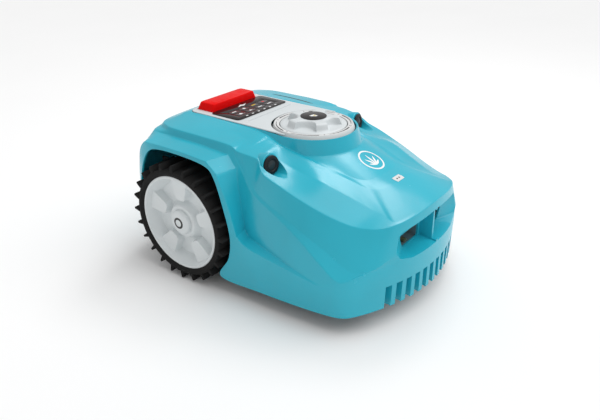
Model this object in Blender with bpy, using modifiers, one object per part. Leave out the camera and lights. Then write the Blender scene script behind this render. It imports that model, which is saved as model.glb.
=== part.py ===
"""Robotic lawn mower, modelled as an assembly of separate pieces.

Frame: +Z up, origin on the ground below the middle of the machine, front towards -Y,
and the machine is symmetric about the plane X = 0. All sizes are in metres.
"""
import math

import bmesh
import bpy
from mathutils import Matrix, Vector
from mathutils.bvhtree import BVHTree

# ---------------------------------------------------------------- driving dimensions
GAP = 0.0003                 # between pieces that rest on each other
RUN = 0.0006                 # running clearance between a shaft and its hole

SHELL = 0.003                # wall of the upper cover
FRONT_Y = -0.256             # foremost point of the front

WHEEL_R = 0.1035             # over the lugs
TREAD_R = 0.0925
RIM_R = 0.0815
WHEEL_X = (0.1345, 0.1925)   # inner and outer face of a drive wheel
AXLE_Y = 0.116
AXLE_Z = WHEEL_R
AXLE_R = 0.006
LUGS = 24
SPOKES = 5

CASTER_X = 0.108
CASTER_Y = -0.150
CASTER_R = 0.034
CASTER_WIDTH = 0.022
CASTER_TRAIL = 0.016
MOUNT_X = 0.110              # rubber posts between the chassis floor and the cover
MOUNT_Y = -0.080

DIAL_Y = -0.021              # knob, cutting motor and blade disc share this axis
DIAL_Z = 0.2475
DIAL_R = 0.0690
DIAL_HOLE_R = 0.0560
KNOB_R = 0.0545
KNOB_CAP_R = 0.0215
FINGER_HOLLOWS = 5

PANEL_HALF = 0.0715
PANEL_REAR_Y = 0.1930
PANEL_Z = 0.2505
KEY_X = (-0.0375, -0.0125, 0.0125, 0.0375)
KEY_Y = (0.1035, 0.1185)
KEY_SIZE = (0.0190, 0.0100)
STOP_X = 0.0565
STOP_Y = (0.1490, 0.1880)
STOP_TOP = 0.2630

COMB_PITCH = 0.0195
COMB_TOOTH = 0.0083
COMB_TOP_Z = 0.0724
TEETH = 11

SENSOR = Vector((0.1210, -0.0280, 0.2190))
SENSOR_AXIS = Vector((0.14, -0.98, 0.10)).normalized()
SENSOR_R = 0.0150

LABEL_LOW = (-0.0110, -0.1880, 0.1905)
LABEL_HIGH = (0.0110, -0.1760, 0.2100)

FLOOR_Z = (0.080, 0.085)     # chassis floor
DISC_R = 0.068
DISC_Z = (0.0245, 0.0270)
BLADE_Z = (0.0200, 0.0212)
BLADE_PIVOT_R = 0.058
BLADES = 3
MOTOR_R = 0.029
LIFT_SCREW_R = 0.0070
LIFT_SCREW_Z = 0.1880        # lower end, clear of the sleeve's floor when the motor is right up
SLEEVE_TOP = 0.2000

TEAL = (0.10, 0.52, 0.62, 1.0)
LIGHT_GREY = (0.74, 0.77, 0.78, 1.0)
RIM_GREY = (0.55, 0.58, 0.59, 1.0)
BLACK = (0.02, 0.02, 0.022, 1.0)
DARK_GREY = (0.07, 0.075, 0.08, 1.0)
RED = (0.78, 0.02, 0.02, 1.0)
STEEL = (0.62, 0.62, 0.63, 1.0)
BRASS = (0.75, 0.55, 0.25, 1.0)
GREEN = (0.03, 0.25, 0.10, 1.0)
BLUE = (0.03, 0.09, 0.30, 1.0)
WHITE = (0.85, 0.86, 0.86, 1.0)


# ---------------------------------------------------------------- scene helpers
def clear_scene():
    for obj in list(bpy.data.objects):
        bpy.data.objects.remove(obj, do_unlink=True)


def make_collection(name):
    collection = bpy.data.collections.new(name)
    bpy.context.scene.collection.children.link(collection)
    return collection


clear_scene()
PARTS = make_collection("robotic_lawn_mower")
CUTTERS = make_collection("cutters")


def material(name, colour, roughness=0.5, metallic=0.0):
    mat = bpy.data.materials.new(name)
    mat.use_nodes = True
    shader = mat.node_tree.nodes["Principled BSDF"]
    shader.inputs["Base Color"].default_value = colour
    shader.inputs["Roughness"].default_value = roughness
    shader.inputs["Metallic"].default_value = metallic
    mat.diffuse_color = colour
    return mat


def add_object(name, bm, collection=None, location=(0, 0, 0)):
    mesh = bpy.data.meshes.new(name)
    bmesh.ops.recalc_face_normals(bm, faces=bm.faces)
    bm.to_mesh(mesh)
    bm.free()
    obj = bpy.data.objects.new(name, mesh)
    obj.location = location
    (collection or CUTTERS).objects.link(obj)
    return obj


def finish(obj, mat, smooth_angle=35):
    """Move a finished piece into the collection of parts and give it its material."""
    for collection in list(obj.users_collection):
        collection.objects.unlink(obj)
    PARTS.objects.link(obj)
    obj.hide_render = False
    obj.display_type = "TEXTURED"
    obj.data.materials.clear()
    obj.data.materials.append(mat)
    obj.data.shade_smooth()
    obj.data.set_sharp_from_angle(angle=math.radians(smooth_angle))
    return obj


def box(name, low, high, location=(0, 0, 0)):
    low, high = Vector(low), Vector(high)
    bm = bmesh.new()
    bmesh.ops.create_cube(bm, size=1.0)
    size = high - low
    middle = (low + high) / 2
    for vert in bm.verts:
        vert.co = Vector(vert.co[i] * size[i] + middle[i] for i in range(3))
    return add_object(name, bm, location=location)


def axis_matrix(axis):
    return Vector((0, 0, 1)).rotation_difference(Vector(axis).normalized()).to_matrix().to_4x4()


def cone(name, start, axis, length, r1, r2=None, segments=40, location=(0, 0, 0)):
    """Cylinder or cone that starts at a point and runs along an axis."""
    axis = Vector(axis).normalized()
    place = Matrix.Translation(Vector(start) + axis * length / 2) @ axis_matrix(axis)
    bm = bmesh.new()
    bmesh.ops.create_cone(bm, cap_ends=True, cap_tris=False, segments=segments, radius1=r1,
                          radius2=r1 if r2 is None else r2, depth=length, matrix=place)
    return add_object(name, bm, location=location)


def prism(name, outline, low, high, plane="XY"):
    """Extrude a flat outline of (a, b) points between two levels of the third axis."""
    order = {"XY": (0, 1, 2), "XZ": (0, 2, 1), "YZ": (1, 2, 0)}[plane]
    bm = bmesh.new()
    base = []
    for a, b in outline:
        point = [0.0, 0.0, 0.0]
        point[order[0]], point[order[1]], point[order[2]] = a, b, low
        base.append(bm.verts.new(point))
    face = bm.faces.new(base)
    moved = bmesh.ops.extrude_face_region(bm, geom=[face])["geom"]
    shift = Vector((0, 0, 0))
    shift[order[2]] = high - low
    verts = [item for item in moved if isinstance(item, bmesh.types.BMVert)]
    bmesh.ops.translate(bm, verts=verts, vec=shift)
    return add_object(name, bm)


def turned(name, profile, centre, axis=(0, 0, 1), segments=48):
    """Turn a closed (radius, height) profile about an axis through a centre."""
    bm = bmesh.new()
    rings = []
    for step in range(segments):
        angle = 2 * math.pi * step / segments
        turn = Vector((math.cos(angle), math.sin(angle), 0))
        rings.append([bm.verts.new(turn * r + Vector((0, 0, h))) for r, h in profile])
    for step in range(segments):
        here, there = rings[step], rings[(step + 1) % segments]
        for i in range(len(profile)):
            j = (i + 1) % len(profile)
            bm.faces.new((here[i], there[i], there[j], here[j]))
    bmesh.ops.remove_doubles(bm, verts=bm.verts, dist=1e-6)
    bmesh.ops.transform(bm, matrix=Matrix.Translation(centre) @ axis_matrix(axis), verts=bm.verts)
    return add_object(name, bm)


def boolean(obj, tool, operation="DIFFERENCE", solver="EXACT"):
    """Cut a piece with a tool, or join it to one, and put the tool away."""
    modifier = obj.modifiers.new(operation.lower(), "BOOLEAN")
    modifier.operation = operation
    modifier.solver = solver
    modifier.object = tool
    depsgraph = bpy.context.evaluated_depsgraph_get()
    mesh = bpy.data.meshes.new_from_object(obj.evaluated_get(depsgraph))
    obj.modifiers.remove(modifier)
    obj.data = mesh
    tool.hide_render = True
    tool.display_type = "WIRE"
    return obj


def cut(obj, *tools, solver="EXACT"):
    for tool in tools:
        boolean(obj, tool, "DIFFERENCE", solver)
    return obj


def join(obj, *tools, solver="EXACT"):
    for tool in tools:
        boolean(obj, tool, "UNION", solver)
    return obj


def merged(name, objects):
    """Join separate closed shapes into one cutter mesh."""
    bm = bmesh.new()
    for obj in objects:
        obj.data.transform(obj.matrix_world)
        bm.from_mesh(obj.data)
        bpy.data.objects.remove(obj, do_unlink=True)
    return add_object(name, bm)


def rounded_rectangle(half_x, y0, y1, radius, steps=5):
    points = []
    corners = ((half_x - radius, y1 - radius, 0), (radius - half_x, y1 - radius, 90),
               (radius - half_x, y0 + radius, 180), (half_x - radius, y0 + radius, 270))
    for cx, cy, start in corners:
        for step in range(steps + 1):
            angle = math.radians(start + 90 * step / steps)
            points.append((cx + radius * math.cos(angle), cy + radius * math.sin(angle)))
    return points


# ---------------------------------------------------------------- upper cover
# The skin is a loft between rails that run from the middle of the front (station 0) round
# the side to the middle of the rear (station 20). Each rail lists (station, x, y, z) in
# millimetres, on the +X half, and only where its course changes.
LAST_STATION = 20
RAILS = {
    "rim": [(0, 0, -256, 35), (1, 55, -250, 35), (2, 107, -234, 35), (3, 148, -213, 34),
            (4, 168, -193, 32), (5, 174, -160, 30), (6, 178, -115, 29), (7, 181, -50, 28),
            (8, 183, 33, 29), (9, 183, 13, 70), (10, 182, 8.5, 110), (11, 180, 22, 160),
            (12, 178, 38, 200), (13, 177, 57, 215), (14, 177, 110, 220), (15, 177, 165, 218),
            (16, 176, 191, 203), (17, 174, 212, 160), (18, 158, 233, 110), (19, 105, 250, 62),
            (20, 0, 256, 58)],
    "flange": [(0, 0, -256, 90), (1, 55, -251, 90), (2, 107, -236, 90), (3, 150, -214, 88),
               (4, 171, -191, 84), (5, 177, -158, 80), (6, 180, -110, 88), (7, 182, -60, 96),
               (8, 182, -35, 99.5), (9, 181, -12, 105.5), (10, 180, -1, 117), (11, 178, 11, 156),
               (12, 177, 33, 208), (13, 176, 54, 223), (14, 176, 110, 226), (15, 175, 178, 225),
               (16, 174, 199, 212), (17, 170, 220, 168), (18, 154, 239, 122), (19, 103, 252, 100),
               (20, 0, 256, 98)],
    "wall_foot": [(0, 0, -256, 98), (1, 55, -251, 98), (2, 107, -236, 98), (3, 150, -214, 96),
                  (4, 171, -190, 92), (5, 176, -158, 88), (6, 174, -108, 96), (7, 169, -60, 105),
                  (8, 164, -32, 111), (9, 160, -6, 118), (10, 157, 4, 131), (11, 152, 10, 163),
                  (12, 146, 20, 210), (13, 142, 38, 227), (14, 141, 100, 230), (15, 140, 168, 230),
                  (16, 134, 196, 228), (17, 124, 214, 227), (18, 104, 226, 226), (19, 60, 233, 225),
                  (20, 0, 236, 225)],
    "facet_low": [(0, 0, -256, 108), (1, 55, -251, 108), (2, 106, -236, 108), (3, 149, -214, 105),
                  (4, 171, -188, 100), (5, 172, -156, 113), (6, 166, -115, 137),
                  (7, 160, -66, 160), (8, 156, -36, 171), (9, 153, -16, 181), (10, 150, -4, 191),
                  (11, 147, 5, 202), (12, 143, 20, 219), (13, 140, 38, 229.5),
                  (14, 139.5, 100, 232), (15, 138.5, 168, 232), (16, 132.5, 195, 230.5),
                  (17, 123, 212.5, 229.5), (18, 103, 224.5, 228.5), (19, 60, 231.5, 227.5),
                  (20, 0, 234.5, 227.5)],
    "facet_high": [(0, 0, -255.5, 125), (1, 55, -250.5, 124), (2, 103, -238, 121),
                   (3, 134, -223, 116), (4, 154, -197, 114), (5, 158, -156, 128),
                   (6, 159, -113, 147), (7, 157, -65, 166), (8, 153, -33, 178),
                   (9, 150, -14, 189), (10, 148, -3, 198), (11, 145, 7, 208),
                   (12, 141, 22, 224), (13, 138, 38, 234), (14, 137.5, 100, 236),
                   (15, 136.5, 167, 236), (16, 130.5, 192, 235), (17, 121, 210, 234),
                   (18, 101, 222, 233), (19, 59, 229, 232), (20, 0, 232, 232)],
    "hood_edge": [(0, 0, -254, 177), (1, 52, -250, 175), (2, 98, -239, 172), (3, 128, -221, 171),
                  (4, 141, -192, 171.5), (5, 143, -157, 175), (6, 145, -115, 185),
                  (7, 148, -66, 203), (8, 147, -25, 217), (9, 145, -10, 221), (10, 143, 1, 225),
                  (11, 141, 11, 229), (12, 138, 25, 235), (13, 135.5, 42, 240),
                  (14, 135, 100, 241), (15, 134, 165, 241), (16, 128, 189, 240.5),
                  (17, 118, 206, 240), (18, 98, 217, 239), (19, 58, 223, 238.5),
                  (20, 0, 225, 238.5)],
    "low_crease": [(0, 0, -240, 180.5), (1, 45, -236, 179), (2, 86, -228, 178),
                   (3, 99, -213, 180.5), (4, 101, -186, 187), (5, 103, -150, 196),
                   (6, 104, -108, 206), (7, 106, -62, 216), (8, 108, -28, 224),
                   (9, 108, -14, 228), (10, 107, -2, 232), (11, 106, 10, 236),
                   (12, 104, 25, 241), (14, 102, 90, 246), (16, 98, 186, 245),
                   (18, 74, 208, 243), (20, 0, 214, 242.5)],
    "high_crease": [(0, 0, -184, 193), (1, 26, -183, 193), (2, 48, -178, 191),
                    (3, 58, -165, 192), (4, 64, -142, 199), (5, 70, -115, 207),
                    (6, 76, -84, 215), (7, 80, -54, 223), (8, 84, -24, 231),
                    (9, 85, -12, 235), (10, 85, -2, 238), (11, 85, 8, 241),
                    (12, 84, 24, 245), (14, 83, 90, 248.5), (16, 82, 188, 247.5),
                    (17, 72, 198, 247), (18, 54, 203, 246.5), (20, 0, 204, 246.5)],
}


def smooth_step(values, t):
    """Cubic through the two middle values, with slopes from their neighbours."""
    a, b, c, d = values
    return b + 0.5 * t * (c - a + t * (2 * a - 5 * b + 4 * c - d + t * (3 * (b - c) + d - a)))


def rail_point(keys, station):
    """Point of a rail at a station, in metres."""
    last = len(keys) - 1
    index = next((i for i in range(last) if station <= keys[i + 1][0]), last - 1)
    span = keys[index + 1][0] - keys[index][0]
    t = (station - keys[index][0]) / span
    mirror = (1, -1, 1, 1)
    before = keys[index - 1] if index else [v * m for v, m in zip(keys[1], mirror)]
    after = keys[index + 2] if index + 2 <= last else [v * m for v, m in zip(keys[-2], mirror)]
    four = (before, keys[index], keys[index + 1], after)
    return Vector(smooth_step([p[axis] for p in four], t) for axis in (1, 2, 3)) / 1000


def opening_point(station):
    """Edge of the top opening: a circle round the dial in front, the panel's outline behind."""
    front, side, corner = 8.0, 10.0, 17.0
    centre = Vector((0, DIAL_Y, 0))
    r = DIAL_R + SHELL + 0.0008
    half = PANEL_HALF + 0.0014
    if station <= front:
        angle = math.radians(-90 + 95 * station / front)
        height = DIAL_Z - 0.0005
        return centre + Vector((r * math.cos(angle), r * math.sin(angle), height))
    if station <= side:
        t = (station - front) / (side - front)
        return Vector((half, DIAL_Y + 0.008 + 0.030 * t, DIAL_Z - 0.0005 + 0.0015 * t))
    rear = PANEL_REAR_Y + 0.0014
    radius = 0.018
    if station <= corner - 2:
        t = (station - side) / (corner - 2 - side)
        return Vector((half, DIAL_Y + 0.038 + (rear - radius - DIAL_Y - 0.038) * t, 0.249))
    if station <= corner:
        angle = math.radians(90 * (station - corner + 2) / 2)
        return Vector((half - radius + radius * math.cos(angle),
                       rear - radius + radius * math.sin(angle), 0.249))
    t = (station - corner) / (LAST_STATION - corner)
    return Vector(((half - radius) * (1 - t), rear, 0.249))


def collar_foot(station):
    """Foot of the collar: just outside the opening, lowest in front where the hood drops."""
    top = opening_point(station)
    hood = rail_point(RAILS["high_crease"], station)
    front = min(1.0, max(0.0, (11 - station) / 5))
    out = (hood.xy - top.xy).normalized()
    foot = top.xy + out * (0.005 + 0.003 * front)
    level = top.z - 0.0006 - 0.0235 * front
    return Vector((foot.x, foot.y, max(level, hood.z + 0.001)))


def station_list(step):
    count = int(LAST_STATION / step)
    return [round(i * step, 4) for i in range(count + 1)]


def skin_columns(step):
    """Columns of points from the rim up to the opening, one for each station."""
    columns = []
    for station in station_list(step):
        column = [rail_point(keys, station) for keys in RAILS.values()]
        column.append(collar_foot(station))
        column.append(opening_point(station))
        columns.append(column)
    return columns


def skin_mesh(name, step=0.5, closed=False):
    """Outer skin of both halves; closed makes a solid that ends inside the shell's wall."""
    half = skin_columns(step)
    mirrored = [[Vector((-p.x, p.y, p.z)) for p in column] for column in half[-2:0:-1]]
    columns = half + mirrored
    bm = bmesh.new()
    grid = [[bm.verts.new(p) for p in column] for column in columns]
    for i, column in enumerate(grid):
        following = grid[(i + 1) % len(grid)]
        for j in range(len(column) - 1):
            bm.faces.new((column[j], following[j], following[j + 1], column[j + 1]))
    if closed:
        close_across(bm, [column[0] for column in grid])
        middle = bm.verts.new((0, 0.060, PANEL_Z))
        for i, column in enumerate(grid):
            bm.faces.new((column[-1], grid[(i + 1) % len(grid)][-1], middle))
        bmesh.ops.recalc_face_normals(bm, faces=bm.faces)
        bm.normal_update()
        inset = [(vert, vert.co - vert.normal * SHELL / 3) for vert in bm.verts]
        for vert, place in inset:
            vert.co = place
    return add_object(name, bm)


def close_across(bm, ring):
    """Close a ring that is its own mirror image with strips straight across X."""
    count = len(ring)
    for i in range(count // 2):
        corners = [ring[i], ring[i + 1], ring[-i - 1], ring[-i]]
        unique = list(dict.fromkeys(corners))
        if len(unique) > 2:
            bm.faces.new(unique)


def inward_shell(obj, thickness):
    modifier = obj.modifiers.new("wall", "SOLIDIFY")
    modifier.thickness = thickness
    modifier.offset = -1
    depsgraph = bpy.context.evaluated_depsgraph_get()
    mesh = bpy.data.meshes.new_from_object(obj.evaluated_get(depsgraph))
    obj.modifiers.remove(modifier)
    obj.data = mesh
    return obj


# ---------------------------------------------------------------- cover details
RECESS_X = (0.0022, 0.0980)
RECESS_Z = (0.1075, 0.1560)
RECESS_BACK_Y = -0.2260
SOCKET_X = (0.0120, 0.0620)
SOCKET_Z = (0.1110, 0.1330)
SOCKET_DEPTH = 0.022


def front_skin_y(x):
    """Place of the lower front at a distance x from the middle."""
    return FRONT_Y + 1.9 * x * x


def mirrored_pair(make):
    return [make(side) for side in (-1, 1)]


def recess_outline(side, grow):
    """Outline of a front recess in X and Z: higher in the middle, its outer corners cut."""
    x0, x1 = RECESS_X[0] - grow, RECESS_X[1] + grow
    z0, z1 = RECESS_Z[0] - grow, RECESS_Z[1] + grow
    points = [(x0, z0), (x1 - 0.022, z0), (x1 - 0.005, z0 + 0.005), (x1, z0 + 0.016),
              (x1 - 0.012, z1 - 0.010), (x1 - 0.030, z1 - 0.002), (x0, z1 + 0.004)]
    return [(side * x, z) for x, z in points]


def recess_tool(side):
    return prism("recess", recess_outline(side, 0.0), -0.300, RECESS_BACK_Y, "XZ")


def recess_plug(solid):
    outlines = [prism("plug", recess_outline(side, 0.003), -0.300, RECESS_BACK_Y + 0.003, "XZ")
                for side in (-1, 1)]
    plug = join(outlines[0], outlines[1])
    return boolean(plug, solid, "INTERSECT")


def socket_hole(side, grow=0.0):
    low = (min(side * x for x in SOCKET_X) - grow, -0.2300, SOCKET_Z[0] - grow)
    high = (max(side * x for x in SOCKET_X) + grow, -0.2150, SOCKET_Z[1] + grow)
    return box("socket_hole", low, high)


def comb_plug(solid):
    """Thick band of wall behind the comb, which the slots are cut into."""
    half = COMB_PITCH * (TEETH + 1) / 2
    band = box("band", (-half, -0.300, 0.020), (half, -0.190, COMB_TOP_Z + 0.0045))
    band = boolean(band, solid, "INTERSECT")
    rows = 9
    points = [(half * 1.2 * (2 * i / rows - 1), 0) for i in range(rows + 1)]
    back = [(x, front_skin_y(x) + 0.0135) for x, _ in points]
    outline = back + [(half * 1.2, -0.150), (-half * 1.2, -0.150)]
    return cut(band, prism("behind_band", outline, 0.0, 0.100))


def comb_tools():
    """Slots between the teeth, and the gaps below the wall that closes them behind."""
    slots, gaps = [], []
    for i in range(TEETH + 1):
        x = COMB_PITCH * (i - TEETH / 2)
        half = (COMB_PITCH - COMB_TOOTH) / 2
        back = front_skin_y(x) + 0.0095
        slots.append(box("slot", (x - half, -0.300, 0.0), (x + half, back, COMB_TOP_Z)))
        gaps.append(box("gap", (x - half + GAP, -0.270, 0.0), (x + half - GAP, -0.190, 0.046)))
    return [merged("comb_slots", slots), merged("comb_gaps", gaps)]


def sensor_axis(side):
    return Vector((side * SENSOR_AXIS.x, SENSOR_AXIS.y, SENSOR_AXIS.z))


def sensor_point(side, along=0.0):
    return Vector((side * SENSOR.x, SENSOR.y, SENSOR.z)) + sensor_axis(side) * along


def sensor_trough(side, grow, behind):
    return cone("trough", sensor_point(side, -behind), sensor_axis(side), 0.062,
                SENSOR_R + grow, SENSOR_R + grow - 0.004, 24)


def make_upper_cover():
    """One moulding: skin, comb, front recesses and the troughs in front of the sensors."""
    solid = skin_mesh("solid", closed=True)
    cover = inward_shell(skin_mesh("upper_cover"), SHELL)
    troughs = [boolean(sensor_trough(side, 0.0050, 0.004), solid, "INTERSECT")
               for side in (-1, 1)]
    join(cover, recess_plug(solid), comb_plug(solid), *troughs, solver="MANIFOLD")
    tools = comb_tools() + mirrored_pair(recess_tool) + mirrored_pair(socket_hole)
    tools += [sensor_trough(side, 0.0015, 0.0) for side in (-1, 1)]
    tools += [cone("bore", sensor_point(side, -0.010), sensor_axis(side), 0.012, 0.0110, None, 24)
              for side in (-1, 1)]
    tools.append(box("label_seat", LABEL_LOW, LABEL_HIGH))
    return cut(cover, *tools, solver="MANIFOLD")


def underside_z(cover, x, y, start=0.12):
    """Height of the cover's inner face straight above a point."""
    tree = BVHTree.FromObject(cover, bpy.context.evaluated_depsgraph_get())
    return tree.ray_cast(Vector((x, y, start)), Vector((0, 0, 1)))[0].z


# ---------------------------------------------------------------- top deck
def key_place(index):
    return KEY_X[index % 4], KEY_Y[index // 4]


def key_box(index, grow, low, high):
    x, y = key_place(index)
    half_x, half_y = KEY_SIZE[0] / 2 + grow, KEY_SIZE[1] / 2 + grow
    return box("key_tool", (x - half_x, y - half_y, low), (x + half_x, y + half_y, high))


def key_holes():
    return merged("key_holes", [key_box(i, 0.0004, 0.240, 0.260) for i in range(len(KEY_X) * len(KEY_Y))])


def make_top_panel():
    outline = rounded_rectangle(PANEL_HALF, DIAL_Y, PANEL_REAR_Y, 0.0175)
    panel = prism("top_panel", outline, PANEL_Z - 0.0024, PANEL_Z)
    dial = cone("dial_tool", (0, DIAL_Y, 0.240), (0, 0, 1), 0.020, DIAL_R + GAP, None, 48)
    stop = box("stop_tool", (-STOP_X - 0.0007, STOP_Y[0] - 0.0007, 0.240),
               (STOP_X + 0.0007, STOP_Y[1] + 0.0007, 0.260))
    front = box("front_tool", (-0.080, DIAL_Y - 0.010, 0.240), (0.080, DIAL_Y + 0.004, 0.260))
    return cut(panel, dial, stop, front, key_holes())


def make_keypad():
    outline = rounded_rectangle(0.0645, 0.0840, STOP_Y[0] - 0.0012, 0.0080)
    pad = prism("keypad", outline, PANEL_Z + GAP, PANEL_Z + 0.0013)
    return cut(pad, key_holes())


def make_key(index):
    key = key_box(index, 0.0, PANEL_Z - 0.0030, PANEL_Z + 0.0016)
    key.name = f"key_{index + 1}"
    return key


def make_stop_button():
    """Wide bar with sloped sides; its skirt sinks into the panel, on a guide stem."""
    y0, y1 = STOP_Y
    brim = PANEL_Z + 0.0012
    bm = bmesh.new()
    bmesh.ops.create_cube(bm, size=1.0)
    for vert in bm.verts:
        upper = vert.co.z > 0
        slope = 0.0042 if upper else 0.0
        x = math.copysign(STOP_X - slope, vert.co.x)
        y = (y0 + 0.0012 * upper) if vert.co.y < 0 else (y1 - 0.004 * upper)
        vert.co = Vector((x, y, STOP_TOP if upper else brim))
    cap = add_object("stop_button", bm)
    skirt = box("skirt", (-STOP_X, y0, PANEL_Z - 0.0060), (STOP_X, y1, brim + 0.0005))
    stem = box("stem", (-0.0400, 0.1600, 0.2340), (0.0400, 0.1770, PANEL_Z - 0.0050))
    return join(cap, skirt, stem)


def make_dial_ring():
    profile = [(DIAL_HOLE_R, DIAL_Z - 0.0040), (DIAL_R - 0.0012, DIAL_Z - 0.0040),
               (DIAL_R - 0.0012, DIAL_Z + 0.0020), (DIAL_R - 0.0040, DIAL_Z + 0.0038),
               (DIAL_HOLE_R, DIAL_Z + 0.0030)]
    return turned("dial_ring", profile, (0, DIAL_Y, 0), segments=48)


def make_height_knob():
    """Low disc with a raised grip that five round finger hollows leave as five lobes."""
    z = DIAL_Z
    profile = [(0, z - 0.0030), (KNOB_R, z - 0.0030), (KNOB_R, z + 0.0030), (0.0490, z + 0.0038),
               (0.0440, z + 0.0120), (0.0410, z + 0.0145), (0, z + 0.0145)]
    knob = turned("height_knob", profile, (0, DIAL_Y, 0), segments=60)
    hollows = []
    for i in range(FINGER_HOLLOWS):
        angle = 2 * math.pi * (i - 0.25) / FINGER_HOLLOWS
        spot = (0.0450 * math.cos(angle), DIAL_Y + 0.0450 * math.sin(angle), z + 0.0038)
        hollows.append(cone("hollow", spot, (0, 0, 1), 0.030, 0.0165, 0.0200, 24))
    return cut(knob, merged("hollows", hollows))


def make_knob_cap():
    return cone("knob_cap", (0, DIAL_Y, DIAL_Z + 0.0145 + GAP), (0, 0, 1), 0.0005, KNOB_CAP_R, None, 36)


def make_lift_screw():
    """Threaded stem under the knob; the sleeve on the motor carriage runs on it."""
    length = DIAL_Z - 0.0033 - LIFT_SCREW_Z
    return cone("lift_screw", (0, DIAL_Y, LIFT_SCREW_Z), (0, 0, 1), length, LIFT_SCREW_R, None, 24)


def make_sensor(side):
    name = "sensor_left" if side > 0 else "sensor_right"
    face = cone(name, sensor_point(side, GAP), sensor_axis(side), 0.0035, SENSOR_R, None, 32)
    body = cone("sensor_body", sensor_point(side, -0.0095), sensor_axis(side), 0.0110, 0.0105,
                None, 24)
    return join(face, body)


def make_label():
    low = (LABEL_LOW[0] + GAP, LABEL_LOW[1] + GAP, LABEL_LOW[2] + GAP)
    return box("label_plate", low, (LABEL_HIGH[0] - GAP, LABEL_HIGH[1] - GAP, 0.1930))


# ---------------------------------------------------------------- charging sockets
def side_name(name, side):
    return f"{name}_left" if side > 0 else f"{name}_right"


def make_socket(side):
    """Open tray behind a window of the front recess."""
    x = sorted(side * value for value in SOCKET_X)
    back = RECESS_BACK_Y + 0.0005
    wall = 0.0012
    low = (x[0] + GAP, back, SOCKET_Z[0] + GAP)
    high = (x[1] - GAP, back + SOCKET_DEPTH, SOCKET_Z[1] - GAP)
    tray = box(side_name("charging_socket", side), low, high)
    inside = box("inside", (low[0] + wall, back - 0.010, low[2] + wall),
                 (high[0] - wall, high[1] - wall, high[2] - wall))
    return cut(tray, inside)


def make_contact(side):
    """Spring strip standing on the floor of the socket."""
    x = side * (SOCKET_X[0] + SOCKET_X[1]) / 2
    low = (x - 0.0045, RECESS_BACK_Y + 0.0050, SOCKET_Z[0] + 0.0018)
    high = (x + 0.0045, RECESS_BACK_Y + 0.0200, SOCKET_Z[0] + 0.0038)
    return box(side_name("charging_contact", side), low, high)


# ---------------------------------------------------------------- drive wheels
def lug_outline(step):
    """Corners of one lug in the plane of the wheel, thinner at its flat tip."""
    angle = 2 * math.pi * step / LUGS
    out = Vector((math.cos(angle), math.sin(angle)))
    across = Vector((-out.y, out.x))
    foot = TREAD_R - 0.0015
    corners = ((foot, -0.0044), (foot, 0.0044), (WHEEL_R, 0.0024), (WHEEL_R, -0.0024))
    return [Vector((AXLE_Y, AXLE_Z)) + out * r + across * t for r, t in corners]


def make_tyre(side):
    x0, x1 = WHEEL_X
    rim = RIM_R + GAP
    profile = [(rim, x0), (TREAD_R - 0.002, x0), (TREAD_R, x0 + 0.003), (TREAD_R, x1 - 0.004),
               (TREAD_R - 0.003, x1 - 0.0008), (rim, x1 - 0.0026)]
    tyre = turned(side_name("drive_tyre", side), [(r, side * x) for r, x in profile],
                  (0, AXLE_Y, AXLE_Z), (0, 0, 1), 40)
    tyre.data.transform(axle_turn())
    low, high = sorted((side * (x0 + 0.004), side * x1))
    lugs = [prism("lug", lug_outline(i), low, high, "YZ") for i in range(LUGS)]
    return join(tyre, merged("lugs", lugs))


def axle_turn():
    """Turn that lays a profile turned about Z through the axle onto the X axis."""
    centre = Matrix.Translation((0, AXLE_Y, AXLE_Z))
    return centre @ Matrix.Rotation(math.radians(90), 4, "Y") @ Matrix.Translation((0, -AXLE_Y, -AXLE_Z))


def wheel_turned(name, profile, segments=40):
    """Turn a (radius, x) profile about the wheel's axle."""
    obj = turned(name, profile, (0, AXLE_Y, AXLE_Z), (0, 0, 1), segments)
    obj.data.transform(axle_turn())
    return obj


def make_rim(side):
    outer, dish = 0.1890, 0.1690
    bore = AXLE_R + GAP
    profile = [(bore, 0.1500), (0.0150, 0.1500), (0.0200, 0.1620), (0.0640, 0.1600),
               (0.0720, 0.1400), (RIM_R, 0.1400), (RIM_R, outer), (RIM_R - 0.0035, outer + 0.0006),
               (RIM_R - 0.0060, outer - 0.0010), (0.0660, dish), (0.0260, dish),
               (0.0240, 0.1780), (0.0220, 0.1800), (bore, 0.1800)]
    rim = wheel_turned(side_name("wheel_rim", side), [(r, side * x) for r, x in profile])
    low, high = sorted((side * (dish - 0.002), side * (outer - 0.003)))
    pads = []
    for i in range(SPOKES):
        middle = 2 * math.pi * i / SPOKES + math.radians(18)
        corners = ((0.0290, -0.0100), (0.0700, -0.0160), (0.0700, 0.0160), (0.0290, 0.0100))
        points = [(AXLE_Y + r * math.cos(middle) - t * math.sin(middle),
                   AXLE_Z + r * math.sin(middle) + t * math.cos(middle)) for r, t in corners]
        pads.append(prism("pad", points, low, high, "YZ"))
    return join(rim, merged("pads", pads))


def make_hub_cap(side):
    x = 0.1800 + GAP
    profile = [(0, x), (0.0205, x), (0.0195, x + 0.0050), (0.0150, x + 0.0075), (0, x + 0.0085)]
    return wheel_turned(side_name("hub_cap", side), [(r, side * v) for r, v in profile], 36)


def make_axle(side):
    return cone(side_name("drive_axle", side), (side * 0.0980, AXLE_Y, AXLE_Z), (side, 0, 0),
                0.1790 - 0.0980, AXLE_R, None, 24)


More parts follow.
